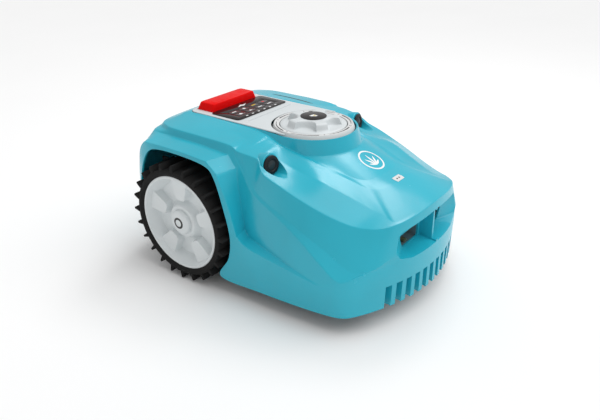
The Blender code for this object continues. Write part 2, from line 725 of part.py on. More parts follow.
def make_gear_motor(side):
    """Flat gear housing inside the chassis wall with the motor can towards the middle."""
    low, high = sorted((side * 0.0900, side * 0.1150))
    case = box(side_name("gear_motor", side), (low, AXLE_Y - 0.030, AXLE_Z - 0.0180),
               (high, AXLE_Y + 0.034, AXLE_Z + 0.030))
    can = cone("can", (side * 0.0920, AXLE_Y + 0.012, AXLE_Z + 0.006), (-side, 0, 0), 0.062,
               0.0185, None, 24)
    bore = cone("bore", (side * 0.0970, AXLE_Y, AXLE_Z), (side, 0, 0), 0.030, AXLE_R + RUN, None, 24)
    return cut(join(case, can), bore)


# ---------------------------------------------------------------- casters
def make_caster_wheel(side):
    x = side * CASTER_X
    y = CASTER_Y + CASTER_TRAIL
    half = CASTER_WIDTH / 2
    bore = 0.0030 + GAP
    profile = [(bore, -half), (CASTER_R - 0.0050, -half), (CASTER_R, -half + 0.0050),
               (CASTER_R, half - 0.0050), (CASTER_R - 0.0050, half), (bore, half)]
    wheel = turned(side_name("caster_wheel", side), profile, (0, 0, 0), (0, 0, 1), 28)
    wheel.data.transform(Matrix.Translation((x, y, CASTER_R)) @ axis_matrix((1, 0, 0)))
    return wheel


def make_caster_pin(side):
    x = side * CASTER_X
    return cone(side_name("caster_pin", side), (x - 0.0165, CASTER_Y + CASTER_TRAIL, CASTER_R),
                (1, 0, 0), 0.033, 0.0030, None, 16)


def make_caster_fork(side):
    """Two cheeks and a bridge on a vertical stem that turns in the chassis."""
    x = side * CASTER_X
    y = CASTER_Y
    inner, outer = CASTER_WIDTH / 2 + 0.0010, CASTER_WIDTH / 2 + 0.0045
    top = CASTER_R * 2 + 0.0020
    fork = box(side_name("caster_fork", side), (x - outer, y - 0.014, top),
               (x + outer, y + CASTER_TRAIL + 0.010, top + 0.0045))
    cheek = [(y - 0.014, top + 0.001), (y + CASTER_TRAIL - 0.009, CASTER_R - 0.006),
             (y + CASTER_TRAIL + 0.009, CASTER_R - 0.006), (y + CASTER_TRAIL + 0.010, top + 0.001)]
    for a, b in ((-outer, -inner), (inner, outer)):
        join(fork, prism("cheek", cheek, x + a, x + b, "YZ"))
    stem = cone("stem", (x, y, top + 0.002), (0, 0, 1), 0.036, 0.0060, None, 24)
    pin = cone("pin_hole", (x - 0.020, y + CASTER_TRAIL, CASTER_R), (1, 0, 0), 0.040,
               0.0030 + GAP, None, 16)
    return cut(join(fork, stem), pin)


# ---------------------------------------------------------------- chassis
CHASSIS_OUTLINE = [(0.000, -0.2230), (0.060, -0.2180), (0.118, -0.2050), (0.148, -0.1850),
                   (0.158, -0.1500), (0.160, -0.0700), (0.1500, -0.0200), (0.1190, -0.0120),
                   (0.1190, 0.2200), (0.1050, 0.2360), (0.000, 0.2430)]
BATTERY_Y = (0.1620, 0.2230)


def both_halves(outline):
    return outline + [(-x, y) for x, y in reversed(outline) if x > 0]


def make_chassis():
    """Floor with side walls between the drive wheels, a rear battery bay and caster bosses."""
    chassis = prism("chassis", both_halves(CHASSIS_OUTLINE), *FLOOR_Z)
    top = FLOOR_Z[1] - 0.001
    for side in (-1, 1):
        low, high = sorted((side * 0.1155, side * 0.1190))
        join(chassis, box("wall", (low, -0.0060, 0.0500), (high, 0.2190, 0.1750)))
        boss = cone("boss", (side * CASTER_X, CASTER_Y, top), (0, 0, 1), 0.026, 0.0120, None, 24)
        join(chassis, boss)
    bay = box("bay", (-0.1000, BATTERY_Y[0] - 0.006, 0.0440), (0.1000, BATTERY_Y[1] + 0.006, top))
    join(chassis, bay)
    battery_room = box("room", (-0.0925, BATTERY_Y[0] - 0.0015, 0.0300),
                       (0.0925, BATTERY_Y[1] + 0.0015, 0.0850 - 0.002))
    motor_hole = cone("motor_hole", (0, DIAL_Y, 0.060), (0, 0, 1), 0.040, MOTOR_R + 0.004, None, 28)
    cut(chassis, battery_room, motor_hole)
    for side in (-1, 1):
        axle = cone("axle_hole", (side * 0.1100, AXLE_Y, AXLE_Z), (side, 0, 0), 0.014,
                    AXLE_R + 0.0025, None, 24)
        stem = cone("stem_hole", (side * CASTER_X, CASTER_Y, 0.070), (0, 0, 1), 0.060,
                    0.0060 + RUN, None, 24)
        cut(chassis, axle, stem)
    return chassis


def make_battery():
    return box("battery_pack", (-0.0900, BATTERY_Y[0], 0.0485), (0.0900, BATTERY_Y[1], 0.0820))


def make_battery_cover():
    return box("battery_cover", (-0.0920, BATTERY_Y[0] - 0.001, 0.0445),
               (0.0920, BATTERY_Y[1] + 0.001, 0.0480))


def make_guide_rod(side):
    return cone(side_name("guide_rod", side), (side * 0.0460, DIAL_Y, FLOOR_Z[1] + GAP), (0, 0, 1),
                0.075, 0.0040, None, 20)


def make_main_board():
    return box("main_board", (-0.0560, 0.0700, 0.1960), (0.0560, 0.1500, 0.1980))


def make_board_frame():
    """Bridge between the chassis walls that carries the main board."""
    frame = box("board_frame", (-0.1150, 0.0660, 0.1860), (0.1150, 0.1540, 0.1900))
    for side in (-1, 1):
        low, high = sorted((side * 0.1115, side * 0.1150))
        join(frame, box("leg", (low, 0.0700, 0.1500), (high, 0.1500, 0.1870)))
    posts = [cone("post", (x, y, 0.1890), (0, 0, 1), 0.0067, 0.0035, None, 12)
             for x in (-0.050, 0.050) for y in (0.076, 0.144)]
    return join(frame, merged("posts", posts))


def make_loop_coil(side):
    """Coil that feels the boundary wire, upright on the floor near the front."""
    low, high = sorted((side * 0.0560, side * 0.0680))
    return box(side_name("wire_sensor", side), (low, -0.2020, FLOOR_Z[1] + GAP),
               (high, -0.1700, FLOOR_Z[1] + 0.020))


def make_cover_mount(cover, index, x, y):
    """Rubber post between the chassis floor and the cover."""
    top = underside_z(cover, x, y) - 0.0045
    low = FLOOR_Z[1] + GAP
    post = cone(f"cover_mount_{index}", (x, y, low), (0, 0, 1), top - low, 0.0085, 0.0070, 24)
    return post


# ---------------------------------------------------------------- cutting system
def make_motor_carriage():
    """Plate that holds the cutting motor, slides on the rods and hangs on the lift screw."""
    z0, z1 = 0.0920, 0.0980
    outline = [(-0.0560, -0.008), (-0.0400, -0.020), (-0.0200, -0.0360), (0.0200, -0.0360),
               (0.0400, -0.020), (0.0560, -0.008), (0.0560, 0.008), (0.0400, 0.020),
               (0.0200, 0.0360), (-0.0200, 0.0360), (-0.0400, 0.020), (-0.0560, 0.008)]
    plate = prism("motor_carriage", [(x, DIAL_Y + y) for x, y in outline], z0, z1)
    can = cone("cup", (0, DIAL_Y, z1 - 0.001), (0, 0, 1), 0.0430, MOTOR_R + 0.003, None, 28)
    sleeve = cone("sleeve", (0, DIAL_Y, 0.1380), (0, 0, 1), SLEEVE_TOP - 0.1380, 0.0120, None, 24)
    join(plate, can, sleeve)
    room = cone("room", (0, DIAL_Y, 0.0800), (0, 0, 1), 0.1370 - 0.0800, MOTOR_R + GAP, None, 28)
    screw = cone("screw", (0, DIAL_Y, 0.1450), (0, 0, 1), 0.070, LIFT_SCREW_R + RUN, None, 24)
    rods = [cone("rod", (side * 0.0460, DIAL_Y, 0.080), (0, 0, 1), 0.030, 0.0040 + RUN, None, 20)
            for side in (-1, 1)]
    return cut(plate, room, screw, *rods)


def make_cutting_motor():
    return cone("cutting_motor", (0, DIAL_Y, 0.0650), (0, 0, 1), 0.0700, MOTOR_R, None, 28)


def make_motor_shaft():
    return cone("motor_shaft", (0, DIAL_Y, DISC_Z[0]), (0, 0, 1),
                0.0647 - DISC_Z[0], 0.0040, None, 20)


def make_blade_disc():
    z0, z1 = DISC_Z
    profile = [(0.0040 + GAP, z0), (DISC_R, z0), (DISC_R, z1), (0.0140, z1), (0.0120, z1 + 0.012),
               (0.0040 + GAP, z1 + 0.012)]
    disc = turned("blade_disc", profile, (0, DIAL_Y, 0), segments=36)
    holes = []
    for i in range(BLADES):
        x, y = pivot(i)
        holes.append(cone("hole", (x, y, 0.015), (0, 0, 1), 0.020, 0.0022 + GAP, None, 16))
    return cut(disc, merged("disc_holes", holes))


def blade_angle(index):
    return math.radians(90 + 360 * index / BLADES)


def pivot(index):
    angle = blade_angle(index)
    return BLADE_PIVOT_R * math.cos(angle), DIAL_Y + BLADE_PIVOT_R * math.sin(angle)


def make_blade(index):
    """Small pivoting blade that points outwards."""
    x, y = pivot(index)
    outline = [(-0.0080, -0.0060), (0.0250, -0.0080), (0.0300, -0.0040), (0.0300, 0.0040),
               (0.0250, 0.0080), (-0.0080, 0.0060)]
    blade = prism(f"blade_{index + 1}", outline, 0, BLADE_Z[1] - BLADE_Z[0])
    cut(blade, cone("hole", (0, 0, -0.01), (0, 0, 1), 0.02, 0.0022 + RUN, None, 16))
    turn = Matrix.Rotation(blade_angle(index), 4, "Z")
    blade.data.transform(Matrix.Translation((x, y, BLADE_Z[0])) @ turn)
    return blade


def make_blade_screw(index):
    x, y = pivot(index)
    profile = [(0, 0.0175), (0.0046, 0.0175), (0.0046, BLADE_Z[0] - GAP),
               (0.0022, BLADE_Z[0] - GAP), (0.0022, DISC_Z[1] + 0.0010), (0, DISC_Z[1] + 0.0010)]
    return turned(f"blade_screw_{index + 1}", profile, (x, y, 0), segments=16)


# ---------------------------------------------------------------- assembly
def build_outside():
    """Cover, top deck, sensors and charging sockets."""
    teal = material("teal_plastic", TEAL, 0.35)
    grey = material("light_grey_plastic", LIGHT_GREY, 0.40)
    white = material("white_plastic", WHITE, 0.40)
    black = material("black_plastic", BLACK, 0.45)
    dark = material("socket_plastic", DARK_GREY, 0.50)
    contact = material("contact_metal", BRASS, 0.30, 1.0)
    cover = finish(make_upper_cover(), teal)
    finish(make_top_panel(), grey)
    finish(make_keypad(), material("keypad_film", DARK_GREY, 0.15))
    finish(make_stop_button(), material("red_plastic", RED, 0.35))
    for index in range(len(KEY_X) * len(KEY_Y)):
        finish(make_key(index), black)
    finish(make_dial_ring(), white)
    finish(make_height_knob(), grey)
    finish(make_knob_cap(), black)
    finish(make_label(), white)
    for side in (-1, 1):
        finish(make_sensor(side), dark)
        finish(make_socket(side), dark)
        finish(make_contact(side), contact)
    return cover


def build_running_gear():
    """Drive wheels with their gear motors, and the front casters."""
    steel = material("steel", STEEL, 0.30, 1.0)
    rubber = material("tyre_rubber", BLACK, 0.75)
    rim = material("rim_plastic", RIM_GREY, 0.40)
    dark = material("dark_plastic", DARK_GREY, 0.55)
    for side in (-1, 1):
        finish(make_tyre(side), rubber)
        finish(make_rim(side), rim)
        finish(make_hub_cap(side), rim)
        finish(make_axle(side), steel)
        finish(make_gear_motor(side), dark)
        finish(make_caster_wheel(side), dark)
        finish(make_caster_fork(side), dark)
        finish(make_caster_pin(side), steel)


def build_chassis(cover):
    """Chassis and what it carries; the rubber mounts reach up to the cover."""
    dark = material("chassis_plastic", DARK_GREY, 0.55)
    steel = material("rod_steel", STEEL, 0.25, 1.0)
    coil = material("coil_wire", BRASS, 0.40, 0.6)
    rubber = material("mount_rubber", BLACK, 0.80)
    finish(make_chassis(), dark)
    finish(make_battery(), material("battery_wrap", BLUE, 0.35))
    finish(make_battery_cover(), dark)
    finish(make_board_frame(), dark)
    finish(make_main_board(), material("circuit_board", GREEN, 0.40))
    for side in (-1, 1):
        finish(make_guide_rod(side), steel)
        finish(make_loop_coil(side), coil)
    for index, x in enumerate((-MOUNT_X, MOUNT_X)):
        finish(make_cover_mount(cover, index + 1, x, MOUNT_Y), rubber)


def build_cutting_system():
    """Lift screw, motor on its carriage, and the disc with three pivoting blades."""
    steel = material("blade_steel", STEEL, 0.25, 1.0)
    dark = material("carriage_plastic", DARK_GREY, 0.50)
    finish(make_lift_screw(), steel)
    finish(make_motor_carriage(), dark)
    finish(make_cutting_motor(), steel)
    finish(make_motor_shaft(), steel)
    finish(make_blade_disc(), dark)
    for index in range(BLADES):
        finish(make_blade(index), steel)
        finish(make_blade_screw(index), steel)


def main():
    cover = build_outside()
    build_running_gear()
    build_chassis(cover)
    build_cutting_system()


if __name__ == "__main__":
    main()
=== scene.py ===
"""Robotic lawn mower: the finished surfaces of every piece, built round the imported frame.

Metres, +Z up, front towards -Y, and the machine is symmetric about the plane X = 0.
"""
import logging
import math
from collections.abc import Callable, Sequence
from dataclasses import dataclass
from enum import Enum
from functools import lru_cache

import bmesh
import bpy
from mathutils import Matrix, Vector
from mathutils.bvhtree import BVHTree


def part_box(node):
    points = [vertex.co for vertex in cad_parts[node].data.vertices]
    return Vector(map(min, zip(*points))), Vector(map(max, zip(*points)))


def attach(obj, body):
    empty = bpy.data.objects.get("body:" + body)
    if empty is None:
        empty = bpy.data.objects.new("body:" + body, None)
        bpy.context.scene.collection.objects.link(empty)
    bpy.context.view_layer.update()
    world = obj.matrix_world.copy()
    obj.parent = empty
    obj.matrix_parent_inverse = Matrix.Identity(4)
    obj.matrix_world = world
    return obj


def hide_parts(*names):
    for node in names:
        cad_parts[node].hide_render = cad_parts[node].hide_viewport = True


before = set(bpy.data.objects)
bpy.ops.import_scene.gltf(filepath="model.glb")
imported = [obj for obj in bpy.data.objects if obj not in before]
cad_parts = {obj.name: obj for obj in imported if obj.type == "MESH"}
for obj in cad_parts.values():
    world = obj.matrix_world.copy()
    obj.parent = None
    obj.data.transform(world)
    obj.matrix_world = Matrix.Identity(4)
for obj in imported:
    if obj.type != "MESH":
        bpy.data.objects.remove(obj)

LOG = logging.getLogger("mower")
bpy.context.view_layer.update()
MM = 0.001
PRINT_THICKNESS = 0.00008
Point2 = tuple[float, float]
Colour = tuple[float, float, float]


class Side(Enum):
    """The machine's two sides; the value is the sign of X."""

    LEFT = 1
    RIGHT = -1

    def node(self, stem: str) -> str:
        """Name of this side's node."""
        return f"{stem}_{self.name.lower()}"


class Plane(Enum):
    """Plane that an outline is drawn in; the value orders its two axes and the third."""

    XY = (0, 1, 2)
    XZ = (0, 2, 1)
    YZ = (1, 2, 0)


# ------------------------------------------------------------------------- materials
class Value:
    """A number inside a material. Operators on it add Math nodes."""

    def __init__(self, shader: "Shader", socket: bpy.types.NodeSocket) -> None:
        """Keep the shader and the socket that carries the number."""
        self.shader = shader
        self.socket = socket

    def math(self, operation: str, *terms: "Value | float") -> "Value":
        """Add a Math node.

        Args:
            operation: the node's operation.
            terms: its inputs in order.

        Returns:
            The node's result.
        """
        inputs = dict(enumerate(terms))
        node = self.shader.node("ShaderNodeMath", {"operation": operation}, inputs)
        return Value(self.shader, node.outputs[0])

    def __add__(self, other: "Value | float") -> "Value":
        """Sum."""
        return self.math("ADD", self, other)

    def __radd__(self, other: "Value | float") -> "Value":
        """Sum, reflected."""
        return self.math("ADD", other, self)

    def __sub__(self, other: "Value | float") -> "Value":
        """Difference."""
        return self.math("SUBTRACT", self, other)

    def __rsub__(self, other: "Value | float") -> "Value":
        """Difference, reflected."""
        return self.math("SUBTRACT", other, self)

    def __mul__(self, other: "Value | float") -> "Value":
        """Product."""
        return self.math("MULTIPLY", self, other)

    def __rmul__(self, other: "Value | float") -> "Value":
        """Product, reflected."""
        return self.math("MULTIPLY", other, self)

    def smooth(self, low: float, high: float) -> "Value":
        """Smooth step from 0 at low to 1 at high.

        Args:
            low: where the step starts.
            high: where it ends.

        Returns:
            The step's value.
        """
        node = self.shader.node("ShaderNodeMapRange", {"interpolation_type": "SMOOTHSTEP"},
                                {"Value": self, "From Min": low, "From Max": high})
        return Value(self.shader, node.outputs[0])


class Shader:
    """Node tree of one material, round its Principled BSDF."""

    def __init__(self, name: str) -> None:
        """Start a new material.

        Args:
            name: the material's name.
        """
        self.material = bpy.data.materials.new(name)
        self.material.use_nodes = True
        self.tree = self.material.node_tree
        self.surface = self.tree.nodes["Principled BSDF"]
        self.place = self.node("ShaderNodeTexCoord").outputs["Object"]

    def node(self, kind: str, settings: dict | None = None, inputs: dict | None = None) -> bpy.types.Node:
        """Add a node.

        Args:
            kind: the node's type.
            settings: attributes set first; stops are a ramp's positions and colours.
            inputs: numbers, Values or sockets, by socket name or index.

        Returns:
            The new node.
        """
        made = self.tree.nodes.new(kind)
        for key, setting in (settings or {}).items():
            if key == "stops":
                for element, (position, colour) in zip(made.color_ramp.elements, setting):
                    element.position, element.color = position, colour
            else:
                setattr(made, key, setting)
        for key, value in (inputs or {}).items():
            self.feed(made.inputs[key], value)
        return made

    def feed(self, socket: bpy.types.NodeSocket, value: object) -> None:
        """Link a value into a socket, or set the socket's own value.

        Args:
            socket: the input.
            value: a number, colour, socket or Value.
        """
        source = value.socket if isinstance(value, Value) else value
        if isinstance(source, bpy.types.NodeSocket):
            self.tree.links.new(source, socket)
        else:
            socket.default_value = source

    def stretched(self, scale: Sequence[float]) -> bpy.types.NodeSocket:
        """Object coordinates scaled along each axis."""
        return self.node("ShaderNodeMapping", None, {"Vector": self.place, "Scale": scale}).outputs[0]

    def noise(self, scale: float, detail: float = 2.0, where: bpy.types.NodeSocket | None = None) -> Value:
        """Noise texture, about 0.5 on average.

        Args:
            scale: cells to a metre.
            detail: octaves.
            where: coordinates, or the piece's own if left out.

        Returns:
            The noise.
        """
        made = self.node("ShaderNodeTexNoise", None,
                         {"Vector": where or self.place, "Scale": scale, "Detail": detail})
        return Value(self, made.outputs[0])

    def cells(self, scale: float) -> Value:
        """Distance to the edge of the nearest cell, with so many cells to a metre."""
        made = self.node("ShaderNodeTexVoronoi", {"feature": "DISTANCE_TO_EDGE"},
                         {"Vector": self.place, "Scale": scale})
        return Value(self, made.outputs["Distance"])

    def blend(self, factor: Value | float, first: object, second: object) -> bpy.types.NodeSocket:
        """Colour between two colours."""
        made = self.node("ShaderNodeMix", {"data_type": "RGBA"},
                         {0: factor, 6: paint(first), 7: paint(second)})
        return made.outputs[2]

    def bump(self, height: Value, distance: float, strength: float = 1.0) -> None:
        """Raise the surface by a height, in metres at a height of 1.

        Args:
            height: the height.
            distance: metres at a height of 1.
            strength: share of the effect.
        """
        made = self.node("ShaderNodeBump", None,
                         {"Height": height, "Distance": distance, "Strength": strength})
        self.tree.links.new(made.outputs[0], self.surface.inputs["Normal"])

    def wear(self, **sockets: object) -> None:
        """Feed sockets of the surface; an underscore in a name stands for a space."""
        for key, value in sockets.items():
            self.feed(self.surface.inputs[key.replace("_", " ")], value)


def paint(colour: object) -> object:
    """A colour of three numbers as four, and a socket as it is."""
    return (*colour, 1.0) if isinstance(colour, tuple) and len(colour) == 3 else colour


def shade(colour: Colour, factor: float) -> Colour:
    """A lighter or darker colour."""
    return tuple(min(1.0, part * factor) for part in colour)


@dataclass(frozen=True)
class Finish:
    """A finish: its name, the record's slot, base colour and roughness."""

    name: str
    slot: str
    colour: Colour
    roughness: float = 0.4

    def material(self) -> bpy.types.Material:
        """The finish's material, made once; its name differs from the CAD's own materials.

        Returns:
            The material.
        """
        name = f"{self.name}_finish"
        made = bpy.data.materials.get(name)
        if made is None:
            shader = Shader(name)
            shader.wear(Base_Color=paint(self.colour), Roughness=self.roughness)
            self.dress(shader)
            made = shader.material
        return made

    def dress(self, shader: Shader) -> None:
        """Add the finish's detail to a new material."""


@dataclass(frozen=True)
class MouldedPlastic(Finish):
    """Injection-moulded plastic: faint flow mottling, fine grain and handling marks."""

    grain: float = 2200.0
    depth: float = 0.000012
    mottle: float = 0.05
    coat: float = 0.0
    specular: float = 0.5

    def dress(self, shader: Shader) -> None:
        """Mottle the colour, roughen it in patches and raise the mould's grain.

        Args:
            shader: the material's tree.
        """
        flow = shader.noise(9.0, 3.0)
        fine = shader.noise(self.grain, 2.0)
        marks = shader.noise(45.0, 3.0).smooth(0.50, 0.80)
        low, high = shade(self.colour, 1 - self.mottle), shade(self.colour, 1 + self.mottle)
        shader.wear(Base_Color=shader.blend(flow.smooth(0.3, 0.7), low, high))
        shader.wear(Roughness=self.roughness + 0.06 * (flow - 0.5) + 0.03 * marks)
        shader.wear(Coat_Weight=self.coat, Coat_Roughness=0.12, Specular_IOR_Level=self.specular)
        shader.bump(fine, self.depth)


@dataclass(frozen=True)
class TyreRubber(Finish):
    """Matt black rubber with a dusty bloom and a fine skin."""

    dust: Colour = (0.030, 0.030, 0.029)

    def dress(self, shader: Shader) -> None:
        """Lay dust in soft patches and roughen the skin.

        Args:
            shader: the material's tree.
        """
        bloom = shader.noise(38.0, 5.0).smooth(0.48, 0.78)
        skin = shader.noise(1500.0, 3.0)
        shader.wear(Base_Color=shader.blend(0.35 * bloom, self.colour, self.dust))
        shader.wear(Roughness=self.roughness + 0.15 * bloom, Specular_IOR_Level=0.10)
        shader.bump(skin + 0.5 * shader.noise(320.0, 2.0), 0.00004)


@dataclass(frozen=True)
class Metal(Finish):
    """Bare metal with brush marks along one direction."""

    stretch: tuple[float, float, float] = (40.0, 1200.0, 1200.0)

    def dress(self, shader: Shader) -> None:
        """Draw the brush marks in roughness and height.

        Args:
            shader: the material's tree.
        """
        marks = shader.noise(1.0, 3.0, shader.stretched(self.stretch))
        stain = shader.noise(30.0, 4.0).smooth(0.5, 0.8)
        shader.wear(Metallic=1.0, Roughness=self.roughness + 0.18 * (marks - 0.5) + 0.1 * stain)
        shader.wear(Base_Color=shader.blend(0.4 * stain, self.colour, shade(self.colour, 0.75)))
        shader.bump(marks, 0.00001)


@dataclass(frozen=True)
class GlossFilm(Finish):
    """Smooth printed film with a clear hard face."""

    coat: float = 0.12
    specular: float = 0.15

    def dress(self, shader: Shader) -> None:
        """Give the face a coat and a trace of waviness.

        Args:
            shader: the material's tree.
        """
        wave = shader.noise(55.0, 1.0)
        shader.wear(Base_Color=shader.blend(wave, shade(self.colour, 0.9), shade(self.colour, 1.15)))
        shader.wear(Coat_Weight=self.coat, Coat_Roughness=0.04, Specular_IOR_Level=self.specular)
        shader.bump(wave, 0.00002, 0.6)


@dataclass(frozen=True)
class Ink(Finish):
    """Printed ink, a little uneven where the screen left it."""

    def dress(self, shader: Shader) -> None:
        """Vary the ink by its print screen."""
        screen = shader.noise(900.0, 2.0)
        shader.wear(Base_Color=shader.blend(0.3 * screen, self.colour, shade(self.colour, 0.82)))


@dataclass(frozen=True)
class CircuitBoard(Finish):
    """Green solder mask with lighter tracks below it."""

    def dress(self, shader: Shader) -> None:
        """Show the tracks as narrow cell edges.

        Args:
            shader: the material's tree.
        """
        tracks = 1 - shader.cells(160.0).smooth(0.03, 0.08)
        shader.wear(Base_Color=shader.blend(tracks, self.colour, shade(self.colour, 1.9)))
        shader.bump(tracks, 0.00004)


TEAL = MouldedPlastic("teal_plastic", "teal_plastic", (0.018, 0.430, 0.560), 0.24, specular=0.50)
PANEL_GREY = MouldedPlastic("panel_plastic", "light_grey_plastic", (0.62, 0.66, 0.675), 0.40, mottle=0.02)
RING_WHITE = MouldedPlastic("ring_plastic", "white_plastic", (0.68, 0.69, 0.69), 0.36, mottle=0.02)
STOP_RED = MouldedPlastic("stop_plastic", "red_plastic", (0.80, 0.003, 0.003), 0.34, mottle=0.05,
                          specular=0.06)
RIM_GREY = MouldedPlastic("rim_plastic", "rim_plastic", (0.72, 0.76, 0.77), 0.42, mottle=0.03)
BLACK = MouldedPlastic("black_plastic", "black_plastic", (0.014, 0.014, 0.016), 0.42, depth=0.00003,
                       specular=0.25)
DARK = MouldedPlastic("dark_plastic", "dark_plastic", (0.045, 0.050, 0.055), 0.55, depth=0.00006,
                      grain=1400.0)
SOCKET = MouldedPlastic("socket_plastic", "dark_plastic", (0.130, 0.190, 0.210), 0.22, coat=0.3)
LENS = MouldedPlastic("lens_plastic", "dark_plastic", (0.030, 0.038, 0.042), 0.30, specular=0.25)
RUBBER = TyreRubber("tyre_rubber", "tyre_rubber", (0.016, 0.016, 0.016), 0.74)
POST_RUBBER = TyreRubber("post_rubber", "mount_rubber", (0.018, 0.018, 0.018), 0.80)
FILM = GlossFilm("keypad_film", "keypad_film", (0.013, 0.009, 0.010), 0.12)
KEY_FILM = GlossFilm("key_film", "keypad_film", (0.075, 0.068, 0.072), 0.22)
STICKER = GlossFilm("sticker_film", "black_plastic", (0.012, 0.009, 0.010), 0.15)
WHITE_INK = Ink("white_ink", "white_plastic", (0.85, 0.86, 0.86), 0.45)
# Black ink for the real prints; it also paints the shade stripe along the crease beside the panel.
BLACK_INK_AND_PAINTED_SHADE = Ink("black_ink", "black_plastic", (0.015, 0.015, 0.016), 0.40)
YELLOW_INK = Ink("yellow_ink", "keypad_film", (0.75, 0.58, 0.04), 0.45)
RED_INK = Ink("red_ink", "red_plastic", (0.60, 0.03, 0.03), 0.45)
STEEL = Metal("brushed_steel", "steel", (0.62, 0.62, 0.63), 0.28)
MOTOR_CAN = Metal("motor_can", "motor_metal", (0.60, 0.60, 0.62), 0.36, (1200.0, 1200.0, 60.0))
CONTACT = Metal("contact_metal", "contact_metal", (0.80, 0.62, 0.32), 0.25)
COIL = Metal("coil_wire", "contact_metal", (0.62, 0.30, 0.12), 0.34, (60.0, 60.0, 2600.0))
BOARD = CircuitBoard("circuit_board", "circuit_board", (0.02, 0.16, 0.06), 0.35)
WRAP = GlossFilm("battery_wrap", "battery_wrap", (0.03, 0.09, 0.28), 0.30)


# ------------------------------------------------------------------------- mesh tools
def mesh_object(name: str, bm: bmesh.types.BMesh) -> bpy.types.Object:
    """Turn a finished bmesh into an object at the origin, with its faces pointing out.

    Args:
        name: the object's name.
        bm: the mesh; it is freed.

    Returns:
        The object.
    """
    bmesh.ops.remove_doubles(bm, verts=bm.verts, dist=1e-6)
    face_outwards(bm)
    mesh = bpy.data.meshes.new(name)
    bm.to_mesh(mesh)
    bm.free()
    made = bpy.data.objects.new(name, mesh)
    bpy.context.scene.collection.objects.link(made)
    return made


def face_outwards(bm: bmesh.types.BMesh) -> None:
    """Turn all faces outwards, whatever side the recalculation starts from.

    Args:
        bm: a closed mesh, changed in place.
    """
    bmesh.ops.recalc_face_normals(bm, faces=bm.faces)
    if bm.calc_volume(signed=True) < 0:
        bmesh.ops.reverse_faces(bm, faces=bm.faces)


def settled(piece: bpy.types.Object) -> bpy.types.Object:
    """Turn a piece with modifiers into a plain mesh.

    Args:
        piece: the piece; its modifiers are removed.

    Returns:
        The piece.
    """
    depsgraph = bpy.context.evaluated_depsgraph_get()
    mesh = bpy.data.meshes.new_from_object(piece.evaluated_get(depsgraph))
    piece.modifiers.clear()
    piece.data = mesh
    return piece


def softened(piece: bpy.types.Object, width: float, segments: int = 2,
             angle: float = 35.0) -> bpy.types.Object:
    """Round the edges that turn by more than an angle in degrees.

    Args:
        piece: the piece.
        width: width of the rounding.
        segments: steps across the rounding.
        angle: the angle in degrees.

    Returns:
        The piece.
    """
    bevel = piece.modifiers.new("bevel", "BEVEL")
    bevel.width = width
    bevel.segments = segments
    bevel.limit_method = "ANGLE"
    bevel.angle_limit = math.radians(angle)
    bevel.use_clamp_overlap = True
    return settled(piece)


def combine(piece: bpy.types.Object, *tools: bpy.types.Object, how: str = "DIFFERENCE",
            solver: str = "EXACT") -> bpy.types.Object:
    """Cut a piece with tools or join it to them; the tools are used up.

    Args:
        piece: the piece that is changed.
        tools: closed meshes.
        how: DIFFERENCE, UNION or INTERSECT.
        solver: the Boolean solver.

    Returns:
        The piece.
    """
    for tool in tools:
        modifier = piece.modifiers.new("shape", "BOOLEAN")
        modifier.operation = how
        modifier.solver = solver
        modifier.object = tool
        settled(piece)
        bpy.data.objects.remove(tool, do_unlink=True)
    return piece


def united(name: str, pieces: Sequence[bpy.types.Object]) -> bpy.types.Object:
    """Put several separate solids into one object.

    Args:
        name: name of the new object.
        pieces: the solids; they are used up.

    Returns:
        The new object.
    """
    bm = bmesh.new()
    for piece in pieces:
        bm.from_mesh(piece.data)
        bpy.data.objects.remove(piece, do_unlink=True)
    return mesh_object(name, bm)


def slab(name: str, outline: Sequence[Point2], low: float, high: float,
         plane: Plane = Plane.XY) -> bpy.types.Object:
    """Extrude a flat outline between two levels of the plane's third axis."""
    return loft(name, [(outline, low), (outline, high)], plane)


def loft(name: str, sections: Sequence[tuple[Sequence[Point2], float]],
         plane: Plane = Plane.XY) -> bpy.types.Object:
    """Skin outlines with the same number of points, each at its own level, and cap both ends.

    Args:
        name: the piece's name.
        sections: outlines with their levels, in order.
        plane: plane of the outlines.

    Returns:
        The piece.
    """
    order = plane.value
    bm = bmesh.new()
    rings = []
    for outline, level in sections:
        ring = []
        for a, b in outline:
            place = [0.0, 0.0, 0.0]
            place[order[0]], place[order[1]], place[order[2]] = a, b, level
            ring.append(bm.verts.new(place))
        rings.append(ring)
    for lower, upper in zip(rings, rings[1:]):
        for i in range(len(lower)):
            j = (i + 1) % len(lower)
            bm.faces.new((lower[i], lower[j], upper[j], upper[i]))
    bm.faces.new(rings[0])
    bm.faces.new(rings[-1])
    return mesh_object(name, bm)


def revolved(name: str, profile: Sequence[Point2], place: Matrix, segments: int = 96) -> bpy.types.Object:
    """Turn a closed (radius, height) profile about the Z axis of a placing matrix.

    Args:
        name: the piece's name.
        profile: the closed profile.
        place: matrix that puts the turned shape in place.
        segments: steps round the axis.

    Returns:
        The piece.
    """
    bm = bmesh.new()
    rings = []
    for step in range(segments):
        angle = math.tau * step / segments
        turn = Vector((math.cos(angle), math.sin(angle), 0.0))
        rings.append([bm.verts.new(turn * r + Vector((0.0, 0.0, h))) for r, h in profile])
    for step in range(segments):
        here, there = rings[step], rings[(step + 1) % segments]
        for i in range(len(profile)):
            j = (i + 1) % len(profile)
            if profile[i][0] > 0 or profile[j][0] > 0:
                bm.faces.new((here[i], there[i], there[j], here[j]))
    bm.transform(place)
    bmesh.ops.remove_doubles(bm, verts=bm.verts, dist=1e-6)
    bmesh.ops.dissolve_degenerate(bm, edges=bm.edges, dist=1e-7)
    return mesh_object(name, bm)


